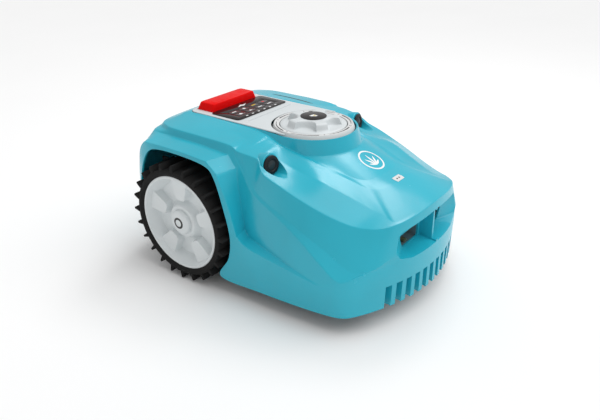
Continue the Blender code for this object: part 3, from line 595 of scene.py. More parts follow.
def rounded(corners: Sequence[tuple[float, float, float]], steps: int = 5) -> list[Point2]:
    """Round a polygon's corners.

    Args:
        corners: (a, b, radius) of each corner, in order.
        steps: segments of each arc.

    Returns:
        The outline's points.
    """
    points = []
    count = len(corners)
    for i, (a, b, radius) in enumerate(corners):
        here = Vector((a, b))
        back = Vector(corners[i - 1][:2]) - here
        ahead = Vector(corners[(i + 1) % count][:2]) - here
        if radius <= 0:
            points.append((a, b))
            continue
        half = back.angle(ahead) / 2
        reach = min(radius / math.tan(half), 0.48 * back.length, 0.48 * ahead.length)
        start, end = here + back.normalized() * reach, here + ahead.normalized() * reach
        for step in range(steps + 1):
            t = step / steps
            points.append(tuple((1 - t) ** 2 * start + 2 * t * (1 - t) * here + t * t * end))
    return points


def rounded_box(x0: float, x1: float, y0: float, y1: float, radius: float, steps: int = 6) -> list[Point2]:
    """Outline of a rectangle with round corners."""
    return rounded([(x1, y0, radius), (x1, y1, radius), (x0, y1, radius), (x0, y0, radius)], steps)


def block(name: str, low: Sequence[float], high: Sequence[float]) -> bpy.types.Object:
    """Box between two corners."""
    outline = [(low[0], low[1]), (high[0], low[1]), (high[0], high[1]), (low[0], high[1])]
    return slab(name, outline, low[2], high[2])


def rod(name: str, start: Vector, axis: Vector, length: float, radius: float,
        end_radius: float | None = None,
        segments: int = 48) -> bpy.types.Object:
    """Closed cylinder or cone from a point along an axis.

    Args:
        name: the piece's name.
        start: middle of the first end.
        axis: the way it runs.
        length: its length.
        radius: radius of the first end.
        end_radius: radius of the other end, or the same if left out.
        segments: steps round the axis.

    Returns:
        The piece.
    """
    end = radius if end_radius is None else end_radius
    profile = [(0.0, 0.0), (radius, 0.0), (end, length), (0.0, length)]
    return revolved(name, profile, along(start, axis), segments)


def along(start: Sequence[float], axis: Sequence[float]) -> Matrix:
    """Matrix that puts the origin at a point and +Z on an axis."""
    turn = Vector((0, 0, 1)).rotation_difference(Vector(axis).normalized())
    return Matrix.Translation(Vector(start)) @ turn.to_matrix().to_4x4()


def finished(piece: bpy.types.Object, finish: Finish, body: str, replaces: Sequence[str] = (),
             crease: float = 35.0) -> bpy.types.Object:
    """Give a piece its finish, shading and body.

    Args:
        piece: the piece, in place.
        finish: its finish.
        body: the CAD body it moves with.
        replaces: CAD nodes it stands for.
        crease: edges sharper than this angle in degrees stay sharp.

    Returns:
        The piece.
    """
    piece.data.materials.clear()
    piece.data.materials.append(finish.material())
    piece.data.shade_smooth()
    piece.data.set_sharp_from_angle(angle=math.radians(crease))
    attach(piece, body)
    if replaces:
        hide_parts(*replaces)
    LOG.info("%s: %d faces on %s", piece.name, len(piece.data.polygons), body)
    return piece


def painted(node: str, finish: Finish) -> None:
    """Give a CAD node that stays its finish.

    Args:
        node: the CAD node's name.
        finish: its finish.
    """
    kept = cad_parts[node]
    if not kept.material_slots:
        kept.data.materials.append(finish.material())
    for held in kept.material_slots:
        held.material = finish.material()
    LOG.info("%s keeps its CAD shape", node)


@lru_cache(maxsize=None)
def tree_of(name: str) -> BVHTree:
    """Search tree of a finished piece's surface."""
    return BVHTree.FromObject(bpy.data.objects[name], bpy.context.evaluated_depsgraph_get())


def draped(piece: bpy.types.Object, under: str, lift: float) -> bpy.types.Object:
    """Lay a flat print down onto a piece below it; the lowest face ends up a lift above the surface.

    Args:
        piece: the print, lying at height 0.
        under: name of the piece below it.
        lift: height above the surface.

    Returns:
        The piece.
    """
    floor = min(vert.co.z for vert in piece.data.vertices)
    for vert in piece.data.vertices:
        hit = tree_of(under).ray_cast(Vector((vert.co.x, vert.co.y, 0.4)), Vector((0, 0, -1)))[0]
        vert.co.z = hit.z + lift + vert.co.z - floor
    return piece


# ------------------------------------------------------------------------- repeats
@dataclass
class Repeater:
    """Geometry Nodes tree that repeats one template, turned and shifted a step each time."""

    name: str
    count: int
    centre: tuple[float, float, float] = (0.0, 0.0, 0.0)
    step: tuple[float, float, float] = (0.0, 0.0, 0.0)
    turn: tuple[float, float, float] = (0.0, 0.0, 0.0)
    jitter: float = 0.0
    seed: int = 7

    INPUTS = (("Template", "NodeSocketObject"), ("Count", "NodeSocketInt"), ("Centre", "NodeSocketVector"),
              ("Step", "NodeSocketVector"), ("Turn", "NodeSocketVector"), ("Jitter", "NodeSocketFloat"),
              ("Seed", "NodeSocketInt"), ("Finish", "NodeSocketMaterial"))

    def tree(self) -> bpy.types.NodeTree:
        """Build the tree: points in a row, a template on each, turned by its index.

        Returns:
            The node tree.
        """
        tree = bpy.data.node_groups.new(f"repeat_{self.name}", "GeometryNodeTree")
        for label, kind in self.INPUTS:
            tree.interface.new_socket(label, in_out="INPUT", socket_type=kind)
        tree.interface.new_socket("Geometry", in_out="OUTPUT", socket_type="NodeSocketGeometry")
        given = tree.nodes.new("NodeGroupInput")

        def add(kind: str, settings: dict, inputs: dict) -> bpy.types.Node:
            """Add a node with its settings and links.

            Args:
                kind: the node's type.
                settings: attributes set first.
                inputs: sockets to link, by socket name or index.

            Returns:
                The new node.
            """
            made = tree.nodes.new(kind)
            for key, setting in settings.items():
                setattr(made, key, setting)
            for key, source in inputs.items():
                tree.links.new(source, made.inputs[key])
            return made

        index = add("GeometryNodeInputIndex", {}, {}).outputs[0]
        chance = add("FunctionNodeRandomValue", {"data_type": "FLOAT"},
                     {"ID": index, "Seed": given.outputs["Seed"]}).outputs[1]
        slack = add("ShaderNodeMath", {"operation": "MULTIPLY"},
                    {0: chance, 1: given.outputs["Jitter"]}).outputs[0]
        place = add("ShaderNodeVectorMath", {"operation": "MULTIPLY_ADD"},
                    {0: index, 1: given.outputs["Step"], 2: given.outputs["Centre"]}).outputs[0]
        angle = add("ShaderNodeMath", {"operation": "ADD"}, {0: index, 1: slack}).outputs[0]
        turned = add("ShaderNodeVectorMath", {"operation": "MULTIPLY"},
                     {0: angle, 1: given.outputs["Turn"]}).outputs[0]
        points = add("GeometryNodePoints", {}, {"Count": given.outputs["Count"],
                                                "Position": place}).outputs[0]
        template = add("GeometryNodeObjectInfo", {},
                       {"Object": given.outputs["Template"]}).outputs["Geometry"]
        copies = add("GeometryNodeInstanceOnPoints", {},
                     {"Points": points, "Instance": template, "Rotation": turned}).outputs[0]
        real = add("GeometryNodeRealizeInstances", {}, {"Geometry": copies}).outputs[0]
        dressed = add("GeometryNodeSetMaterial", {},
                      {"Geometry": real, "Material": given.outputs["Finish"]}).outputs[0]
        add("NodeGroupOutput", {}, {"Geometry": dressed})
        return tree

    def build(self, template: bpy.types.Object, finish: Finish) -> bpy.types.Object:
        """Repeat a template and return the copies as one plain mesh.

        Args:
            template: solid about the origin; it is used up.
            finish: the copies' finish.

        Returns:
            The object with all copies.
        """
        host = bpy.data.objects.new(self.name, bpy.data.meshes.new(self.name))
        bpy.context.scene.collection.objects.link(host)
        modifier = host.modifiers.new("repeat", "NODES")
        modifier.node_group = self.tree()
        values = {"Template": template, "Count": self.count, "Centre": self.centre, "Step": self.step,
                  "Turn": self.turn, "Jitter": self.jitter, "Seed": self.seed, "Finish": finish.material()}
        for item in modifier.node_group.interface.items_tree:
            if item.item_type == "SOCKET" and item.in_out == "INPUT":
                modifier[item.identifier] = values[item.name]
        settled(host)
        bpy.data.objects.remove(template, do_unlink=True)
        return host


# ------------------------------------------------------------------------- upper cover
@dataclass(frozen=True)
class Rail:
    """Line along the cover from the middle of the front to the middle of the rear, +X half.

    keys lists (station, x, y, z) in millimetres where its course changes; fillet is the
    crease's radius in metres, and rows the strips between this rail and the next.
    """

    name: str
    fillet: float
    rows: int
    keys: tuple[tuple[float, float, float, float], ...]
    corners: tuple[float, ...] = ()

    def point(self, station: float) -> Vector:
        """Point at a station, on a cubic through the keys that bends sharply at the corners, in metres.

        Args:
            station: place along the rail, from 0 in front to LAST_STATION behind.

        Returns:
            The point.
        """
        keys = self.keys
        last = len(keys) - 1
        index = next((i for i in range(last) if station <= keys[i + 1][0]), last - 1)
        start, end = keys[index], keys[index + 1]
        t = (station - start[0]) / (end[0] - start[0])
        before = keys[index - 1] if index else across(keys[1])
        after = keys[index + 2] if index + 2 <= last else across(keys[-2])
        if start[0] in self.corners:
            before = tuple(2 * a - b for a, b in zip(start, end))
        if end[0] in self.corners:
            after = tuple(2 * b - a for a, b in zip(start, end))
        return Vector([cubic(before[i], start[i], end[i], after[i], t) for i in (1, 2, 3)]) * MM


def across(key: tuple[float, ...]) -> tuple[float, ...]:
    """A rail's key on the other half."""
    return (key[0], -key[1], key[2], key[3])


def cubic(a: float, b: float, c: float, d: float, t: float) -> float:
    """Cubic from b to c, with slopes from their neighbours."""
    return b + 0.5 * t * (c - a + t * (2 * a - 5 * b + 4 * c - d + t * (3 * (b - c) + d - a)))


RAILS = (
    Rail("rim", 0.0, 6, (
        (0, 0, -256, 35), (1, 55, -250, 35), (2, 107, -234, 35), (3, 148, -213, 34), (4, 168, -193, 32),
        (5, 174, -160, 30), (6, 178, -115, 29), (7, 181, -50, 28), (8, 183, 33, 29), (9, 183, 13, 70),
        (10, 182, 8.5, 110), (11, 180, 22, 160), (12, 178, 38, 200), (13, 177, 57, 215),
        (14, 177, 110, 220),
        (15, 177, 165, 218), (16, 176, 191, 203), (17, 174, 212, 160), (18, 158, 233, 110),
        (19, 105, 250, 62), (20, 0, 256, 58))),
    Rail("flange", 0.0008, 3, (
        (0, 0, -256, 90), (1, 55, -251, 90), (2, 107, -236, 90), (3, 150, -214, 88), (4, 171, -191, 84),
        (5, 177, -158, 80), (6, 180, -110, 88), (7, 182, -60, 96), (8, 182, -35, 99.5), (9, 181, -15, 105),
        (10, 180, -4, 112.5), (11, 178, 11, 156), (12, 177, 33, 208), (13, 176, 54, 223),
        (14, 176, 110, 226),
        (15, 175, 178, 225), (16, 172, 200, 220), (17, 166, 221, 190), (18, 154, 239, 122),
        (19, 103, 252, 100), (20, 0, 256, 98)), (9, 10, 12, 13)),
    Rail("wall_foot", 0.0008, 2, (
        (0, 0, -256, 98), (1, 55, -251, 98), (2, 107, -236, 98), (3, 150, -214, 96), (4, 171, -190, 92),
        (5, 176.3, -158, 83), (6, 174.5, -108, 91), (7, 169, -60, 99.5), (8, 164, -33, 103.5),
        (9, 160, -11, 106.5), (10, 157, -1, 116), (11, 152, 10, 163), (12, 146, 20, 210),
        (13, 142, 38, 227), (14, 141, 100, 230),
        (15, 140, 168, 230), (16, 139, 202, 229.5), (17, 130, 218, 228), (18, 104, 226, 226),
        (19, 60, 233, 225), (20, 0, 236, 225)), (9, 10, 12, 13)),
    Rail("facet_low", 0.0018, 3, (
        (0, 0, -256, 108), (1, 55, -251, 108), (2, 106, -236, 108), (3, 149, -214, 105), (4, 171, -188, 95),
        (5, 172, -156, 113), (6, 166, -115, 137), (7, 160, -66, 160), (8, 156, -36, 171),
        (9, 153, -16, 181),
        (10, 150, -4, 191), (11, 147, 5, 202), (12, 143, 20, 219), (13, 140, 38, 229.5),
        (14, 139.5, 100, 232), (15, 138.5, 168, 232), (16, 137, 200, 231.5), (17, 128, 216, 230.5),
        (18, 103, 224.5, 228.5), (19, 60, 231.5, 227.5), (20, 0, 234.5, 227.5))),
    Rail("facet_high", 0.0016, 5, (
        (0, 0, -255.5, 125), (1, 55, -250.5, 124), (2, 103, -238, 121), (3, 135, -223, 109),
        (4, 155, -198, 107.5), (5, 158, -156, 128), (6, 159, -113, 147), (7, 157, -65, 166),
        (8, 153, -33, 178),
        (9, 150, -14, 189), (10, 148, -3, 198), (11, 145, 7, 208), (12, 141, 22, 224), (13, 138, 38, 234),
        (14, 137.5, 100, 236), (15, 136.5, 167, 236), (16, 130.5, 192, 235), (17, 121, 210, 234),
        (18, 101, 222, 233), (19, 59, 229, 232), (20, 0, 232, 232))),
    Rail("hood_edge", 0.0014, 6, (
        (0, 0, -249, 175), (1, 49, -245, 171), (2, 90, -234, 167), (3, 114, -214.5, 163.5),
        (4, 128, -186, 164), (5, 137, -154, 171.5), (6, 144.5, -115, 185), (7, 148, -66, 203),
        (8, 147.5, -38, 212.5),
        (8.5, 144, -27, 221), (9, 137, -17, 229.5), (10, 137, -4, 232), (11, 138.5, 10, 233.6),
        (12, 138, 25, 235), (13, 135.5, 42, 240), (14, 135, 100, 241),
        (15, 134, 165, 241), (16, 128, 189, 240.5), (17, 118, 206, 240), (18, 98, 217, 239),
        (19, 58, 223, 238.5), (20, 0, 225, 238.5))),
    Rail("low_crease", 0.0022, 5, (
        (0, 0, -244, 176.3), (1, 48, -241, 172.3), (2, 87, -231, 168), (3, 88, -213, 171.5),
        (4, 90, -186, 178.5), (5, 96, -150, 191.5), (6, 103, -108, 205.5), (7, 101, -62, 211.5),
        (8, 103, -34, 221),
        (9, 107, -16, 233), (10, 106.5, -4, 235.5), (11, 106, 10, 238), (12, 104, 25, 241),
        (14, 102, 90, 246),
        (16, 98, 186, 245), (18, 74, 208, 243), (20, 0, 214, 242.5))),
    Rail("high_crease", 0.0018, 3, (
        (0, 0, -184, 193), (1, 26, -183, 193), (2, 48, -178, 191), (3, 58, -165, 192), (4, 64, -142, 199),
        (5, 70, -115, 207), (6, 76, -84, 215), (7, 80, -54, 223), (8, 84, -24, 231), (9, 85, -12, 235),
        (10, 85, -2, 238), (11, 85, 8, 241), (12, 84, 24, 245), (14, 83, 90, 248.5), (16, 82, 188, 247.5),
        (17, 72, 198, 247), (18, 54, 203, 246.5), (20, 0, 204, 246.5))),
    Rail("tongue_edge", 0.0012, 3, (
        (0, 0, -161, 197.8), (1, 22, -160, 197.8), (2, 41, -155, 197.5), (3, 51, -144, 199.2),
        (4, 58, -128, 203), (5, 65, -109, 209), (6, 71.5, -82, 216.5), (7, 76, -54, 224), (8, 80, -24, 232),
        (9, 81, -12, 236), (10, 81, -2, 239), (11, 81, 8, 242), (12, 80, 24, 246), (14, 79.5, 90, 249),
        (16, 78.5, 186, 248.2), (17, 70, 196.5, 247.6), (18, 53, 200.5, 247.2), (20, 0, 201, 247.2))),
)
LAST_STATION = 20


@dataclass
class TopCover:
    """The teal moulding: skin, wheel arches, comb, front recesses and sensor troughs."""

    body: str = "machine"
    wall: float = 0.003
    stations_per_step: int = 8
    arc_rows: int = 4
    dial_y: float = -0.021
    collar_z: float = 0.247
    opening_r: float = 0.0728
    panel_half: float = 0.0729
    panel_rear: float = 0.1944
    panel_corner: float = 0.018
    front_y: float = -0.256
    front_bow: float = 1.9
    comb_pitch: float = 0.0195
    comb_tooth: float = 0.0083
    comb_top: float = 0.0724
    teeth: int = 11
    recess_front: float = -0.262
    recess_back: float = -0.2262
    window_x: tuple[float, float] = (0.0090, 0.0660)
    window_z: tuple[float, float] = (0.1116, 0.1345)
    sensor_r: float = 0.0150

    def opening(self, station: float) -> Vector:
        """Edge of the top opening: a circle round the dial in front, the panel's outline behind.

        Args:
            station: place along the cover.

        Returns:
            The point.
        """
        front, side, corner = 8.0, 10.0, 17.0
        if station <= front:
            angle = math.radians(-90 + 95 * station / front)
            return Vector((self.opening_r * math.cos(angle), self.dial_y + self.opening_r * math.sin(angle),
                           self.collar_z))
        if station <= side:
            t = (station - front) / (side - front)
            return Vector((self.panel_half, self.dial_y + 0.008 + 0.030 * t, self.collar_z + 0.0015 * t))
        flat_x, flat_y = self.panel_half - self.panel_corner, self.panel_rear - self.panel_corner
        level = self.collar_z + 0.002
        if station <= corner - 2:
            t = (station - side) / (corner - 2 - side)
            start = self.dial_y + 0.038
            return Vector((self.panel_half, start + (flat_y - start) * t, level))
        if station <= corner:
            angle = math.radians(45 * (station - corner + 2))
            return Vector((flat_x + self.panel_corner * math.cos(angle),
                           flat_y + self.panel_corner * math.sin(angle), level))
        t = (station - corner) / (LAST_STATION - corner)
        return Vector((flat_x * (1 - t), self.panel_rear, level))

    def collar_foot(self, station: float) -> Vector:
        """Foot of the collar, lowest in front where the hood drops away from the dial.

        Args:
            station: place along the cover.

        Returns:
            The point.
        """
        top = self.opening(station)
        hood = RAILS[-1].point(station)
        front = min(1.0, max(0.0, (11 - station) / 5))
        foot = top.xy + (hood.xy - top.xy).normalized() * (0.005 + 0.003 * front)
        level = top.z - 0.0006 - 0.0235 * front
        return Vector((foot.x, foot.y, max(level, hood.z + 0.001)))

    def column(self, station: float) -> list[Vector]:
        """Points of the skin at a station, from the rim up to the opening, with round creases.

        Args:
            station: place along the cover.

        Returns:
            The points, from the rim up.
        """
        corners = [rail.point(station) for rail in RAILS]
        corners += [self.collar_foot(station), self.opening(station)]
        fillets = [rail.fillet for rail in RAILS] + [0.0020]
        strips = [rail.rows for rail in RAILS] + [3]
        points = [corners[0]]
        for i in range(1, len(corners) - 1):
            here = corners[i]
            back, ahead = corners[i - 1] - here, corners[i + 1] - here
            start = here + back.normalized() * min(fillets[i], 0.45 * back.length)
            end = here + ahead.normalized() * min(fillets[i], 0.45 * ahead.length)
            points += steps_between(points[-1], start, strips[i - 1])
            for step in range(1, self.arc_rows + 1):
                t = step / self.arc_rows
                points.append((1 - t) ** 2 * start + 2 * t * (1 - t) * here + t * t * end)
        return points + steps_between(points[-1], corners[-1], strips[-1])

    def skin(self, name: str, closed: bool) -> bpy.types.Object:
        """Outer skin of both halves; closed makes a solid that ends inside the wall.

        Args:
            name: the object's name.
            closed: whether it becomes a solid.

        Returns:
            The skin.
        """
        count = LAST_STATION * self.stations_per_step
        half = [self.column(i / self.stations_per_step) for i in range(count + 1)]
        other = [[Vector((-p.x, p.y, p.z)) for p in column] for column in half[-2:0:-1]]
        bm = bmesh.new()
        grid = [[bm.verts.new(p) for p in column] for column in half + other]
        for i, column in enumerate(grid):
            following = grid[(i + 1) % len(grid)]
            for j in range(len(column) - 1):
                bm.faces.new((column[j], following[j], following[j + 1], column[j + 1]))
        if closed:
            self.close(bm, grid)
        return mesh_object(name, bm)

    def close(self, bm: bmesh.types.BMesh, grid: list[list[bmesh.types.BMVert]]) -> None:
        """Close the skin below with strips across X and above with a fan, and shrink it into the wall.

        Args:
            bm: the skin's mesh, changed in place.
            grid: its vertices, column by column.
        """
        ring = [column[0] for column in grid]
        for i in range(len(ring) // 2):
            corners = list(dict.fromkeys((ring[i], ring[i + 1], ring[-i - 1], ring[-i])))
            if len(corners) > 2:
                bm.faces.new(corners)
        middle = bm.verts.new((0.0, 0.060, self.collar_z + 0.003))
        for i, column in enumerate(grid):
            bm.faces.new((column[-1], grid[(i + 1) % len(grid)][-1], middle))
        face_outwards(bm)
        bm.normal_update()
        moved = [(vert, vert.co - vert.normal * self.wall / 3) for vert in bm.verts]
        for vert, place in moved:
            vert.co = place

    def front(self, x: float) -> float:
        """Place of the lower front at a distance from the middle."""
        return self.front_y + self.front_bow * x * x

    def recess(self, side: Side, grow: float) -> bpy.types.Object:
        """Tool of a front recess: wide and scooped at the skin, narrower at the window.

        Args:
            side: the side it is on.
            grow: how much wider than the real recess.

        Returns:
            The tool.
        """
        mouth = [(0.0022, 0.1060, 0), (0.0700, 0.1040, 0.02), (0.1000, 0.1080, 0.012),
                 (0.1160, 0.1260, 0.02), (0.1060, 0.1545, 0.01), (0.0022, 0.1620, 0)]
        skin = [(0.0022, 0.1085, 0), (0.0640, 0.1075, 0.02), (0.0900, 0.1130, 0.012),
                (0.1010, 0.1270, 0.02), (0.0940, 0.1520, 0.01), (0.0022, 0.1605, 0)]
        inner = [(0.0022, 0.1108, 0), (0.0500, 0.1108, 0.004), (0.0590, 0.1112, 0.004),
                 (0.0685, 0.1290, 0.006), (0.0680, 0.1450, 0.010), (0.0022, 0.1560, 0)]
        sections = []
        for corners, level in ((mouth, self.recess_front), (skin, -0.2395),
                               (inner, self.recess_back + grow)):
            wide = [(a + (grow if a > 0.01 else -grow), b + (grow if b > 0.13 else -grow), r)
                    for a, b, r in corners]
            sections.append(([(side.value * a, b) for a, b in rounded(wide)], level))
        return loft("recess", sections, Plane.XZ)

    def window(self, side: Side) -> bpy.types.Object:
        """Tool of the dark window in the back of a recess, its lower outer corner rounder.

        Args:
            side: the side it is on.

        Returns:
            The tool.
        """
        (x0, x1), (z0, z1) = self.window_x, self.window_z
        corners = [(x0, z0, 0.003), (x1 - 0.009, z0, 0.004), (x1, z0 + 0.017, 0.006), (x1, z1, 0.003),
                   (x0, z1, 0.002)]
        outline = [(side.value * a, b) for a, b in rounded(corners)]
        return slab("window", outline, -0.2350, -0.2130, Plane.XZ)

    def comb_band(self, solid: bpy.types.Object) -> bpy.types.Object:
        """Thick band of wall behind the comb.

        Args:
            solid: the skin as a closed solid.

        Returns:
            The band.
        """
        half = self.comb_pitch * (self.teeth + 1) / 2
        band = block("band", (-half, -0.300, 0.020), (half, -0.190, self.comb_top + 0.0045))
        combine(band, copy_of(solid), how="INTERSECT", solver="MANIFOLD")
        wide = half * 1.2
        back = [(x, self.front(x) + 0.0135) for x in (wide * (i / 12 - 1) for i in range(25))]
        behind = slab("behind", back + [(wide, -0.150), (-wide, -0.150)], 0.0, 0.100)
        return combine(band, behind, solver="MANIFOLD")

    def comb_tools(self) -> list[bpy.types.Object]:
        """Slots between the teeth, and the gaps below the wall that closes them behind.

        Returns:
            The slots as one tool and the gaps as another.
        """
        slots, gaps = [], []
        half = (self.comb_pitch - self.comb_tooth) / 2
        for i in range(self.teeth + 1):
            x = self.comb_pitch * (i - self.teeth / 2)
            back = self.front(x) + 0.0095
            slots.append(block("slot", (x - half, -0.300, 0.0), (x + half, back, self.comb_top)))
            gaps.append(block("gap", (x - half + 0.0003, -0.270, 0.0), (x + half - 0.0003, -0.190, 0.046)))
        return [united("slots", slots), united("gaps", gaps)]

    def sensor_line(self, side: Side) -> tuple[Vector, Vector]:
        """Middle of a sensor's face and the way it looks, from its CAD node.

        Args:
            side: the side it is on.

        Returns:
            The middle and the axis.
        """
        low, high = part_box(side.node("sensor"))
        axis = Vector((0.14 * side.value, -0.98, 0.10)).normalized()
        return (low + high) / 2 + axis * 0.0035, axis

    def trough(self, side: Side, grow: float, behind: float) -> bpy.types.Object:
        """Tapered scoop in front of a sensor.

        Args:
            side: the side it is on.
            grow: how much wider than the sensor.
            behind: how far behind the sensor's face it starts.

        Returns:
            The tool.
        """
        middle, axis = self.sensor_line(side)
        radius = self.sensor_r + grow
        return rod("trough", middle - axis * behind, axis, 0.062, radius, radius - 0.004, 64)

    def housing(self, side: Side) -> bpy.types.Object:
        """Rounded housing behind a sensor, that sinks back into the shoulder.

        Args:
            side: the side it is on.

        Returns:
            The housing.
        """
        middle, axis = self.sensor_line(side)
        radius = self.sensor_r
        profile = rounded([(0.0, -0.0005, 0), (radius + 0.0026, -0.0005, 0.0016),
                           (radius + 0.0030, 0.0100, 0.01),
                           (radius - 0.0010, 0.0380, 0.01), (0.0, 0.0500, 0)], 5)
        back = Vector((-0.06 * side.value, 0.98, -0.16))
        return revolved("housing", profile, along(middle, back), 96)

    def build(self) -> bpy.types.Object:
        """Build the moulding and give it its finish.

        Returns:
            The moulding.
        """
        solid = self.skin("solid", closed=True)
        cover = self.skin("cover_shell", closed=False)
        shell = cover.modifiers.new("wall", "SOLIDIFY")
        shell.thickness = self.wall
        shell.offset = -1
        settled(cover)
        softened(cover, 0.0007, 2, 60.0)
        added = [self.comb_band(solid)]
        for side in Side:
            added.append(combine(self.recess(side, 0.003), copy_of(solid), how="INTERSECT",
                                 solver="MANIFOLD"))
            trough = combine(self.trough(side, 0.0050, 0.004), copy_of(solid), how="INTERSECT",
                             solver="MANIFOLD")
            added += [trough, self.housing(side)]
        combine(cover, *added, how="UNION", solver="MANIFOLD")
        combine(cover, *self.cutters(), solver="MANIFOLD")
        bpy.data.objects.remove(solid, do_unlink=True)
        cover.name = "cover_shell"
        return finished(cover, TEAL, self.body, ["upper_cover"], 32.0)

    def cutters(self) -> list[bpy.types.Object]:
        """Every tool that cuts the joined moulding.

        Returns:
            The tools.
        """
        tools = self.comb_tools()
        for side in Side:
            middle, axis = self.sensor_line(side)
            tools.append(self.recess(side, 0.0))
            tools.append(self.window(side))
            tools.append(self.trough(side, 0.0015, 0.0))
            tools.append(rod("bore", middle - axis * 0.010, axis, 0.012, 0.0110, None, 48))
        tools.append(slab("rib_front", rounded_box(-0.0030, 0.0030, 0.1095, 0.1590, 0.0005, 2), -0.280,
                          -0.2475,
                          Plane.XZ))
        return tools


def copy_of(piece: bpy.types.Object) -> bpy.types.Object:
    """A copy of a piece with its own mesh.

    Args:
        piece: the piece to copy.

    Returns:
        The copy.
    """
    made = bpy.data.objects.new(piece.name, piece.data.copy())
    bpy.context.scene.collection.objects.link(made)
    return made


def steps_between(start: Vector, end: Vector, count: int, hold: float = 0.0008) -> list[Vector]:
    """Points after the start up to the end, with one close to each end so that flat faces stay flat.

    Args:
        start: the point before the first one.
        end: the last point.
        count: strips between them.
        hold: distance from each end to its close point.

    Returns:
        The points.
    """
    near = min(0.25, hold / max((end - start).length, hold))
    shares = [near] + [step / count for step in range(1, count)] + [1 - near, 1.0]
    return [start.lerp(end, share) for share in sorted(shares)]


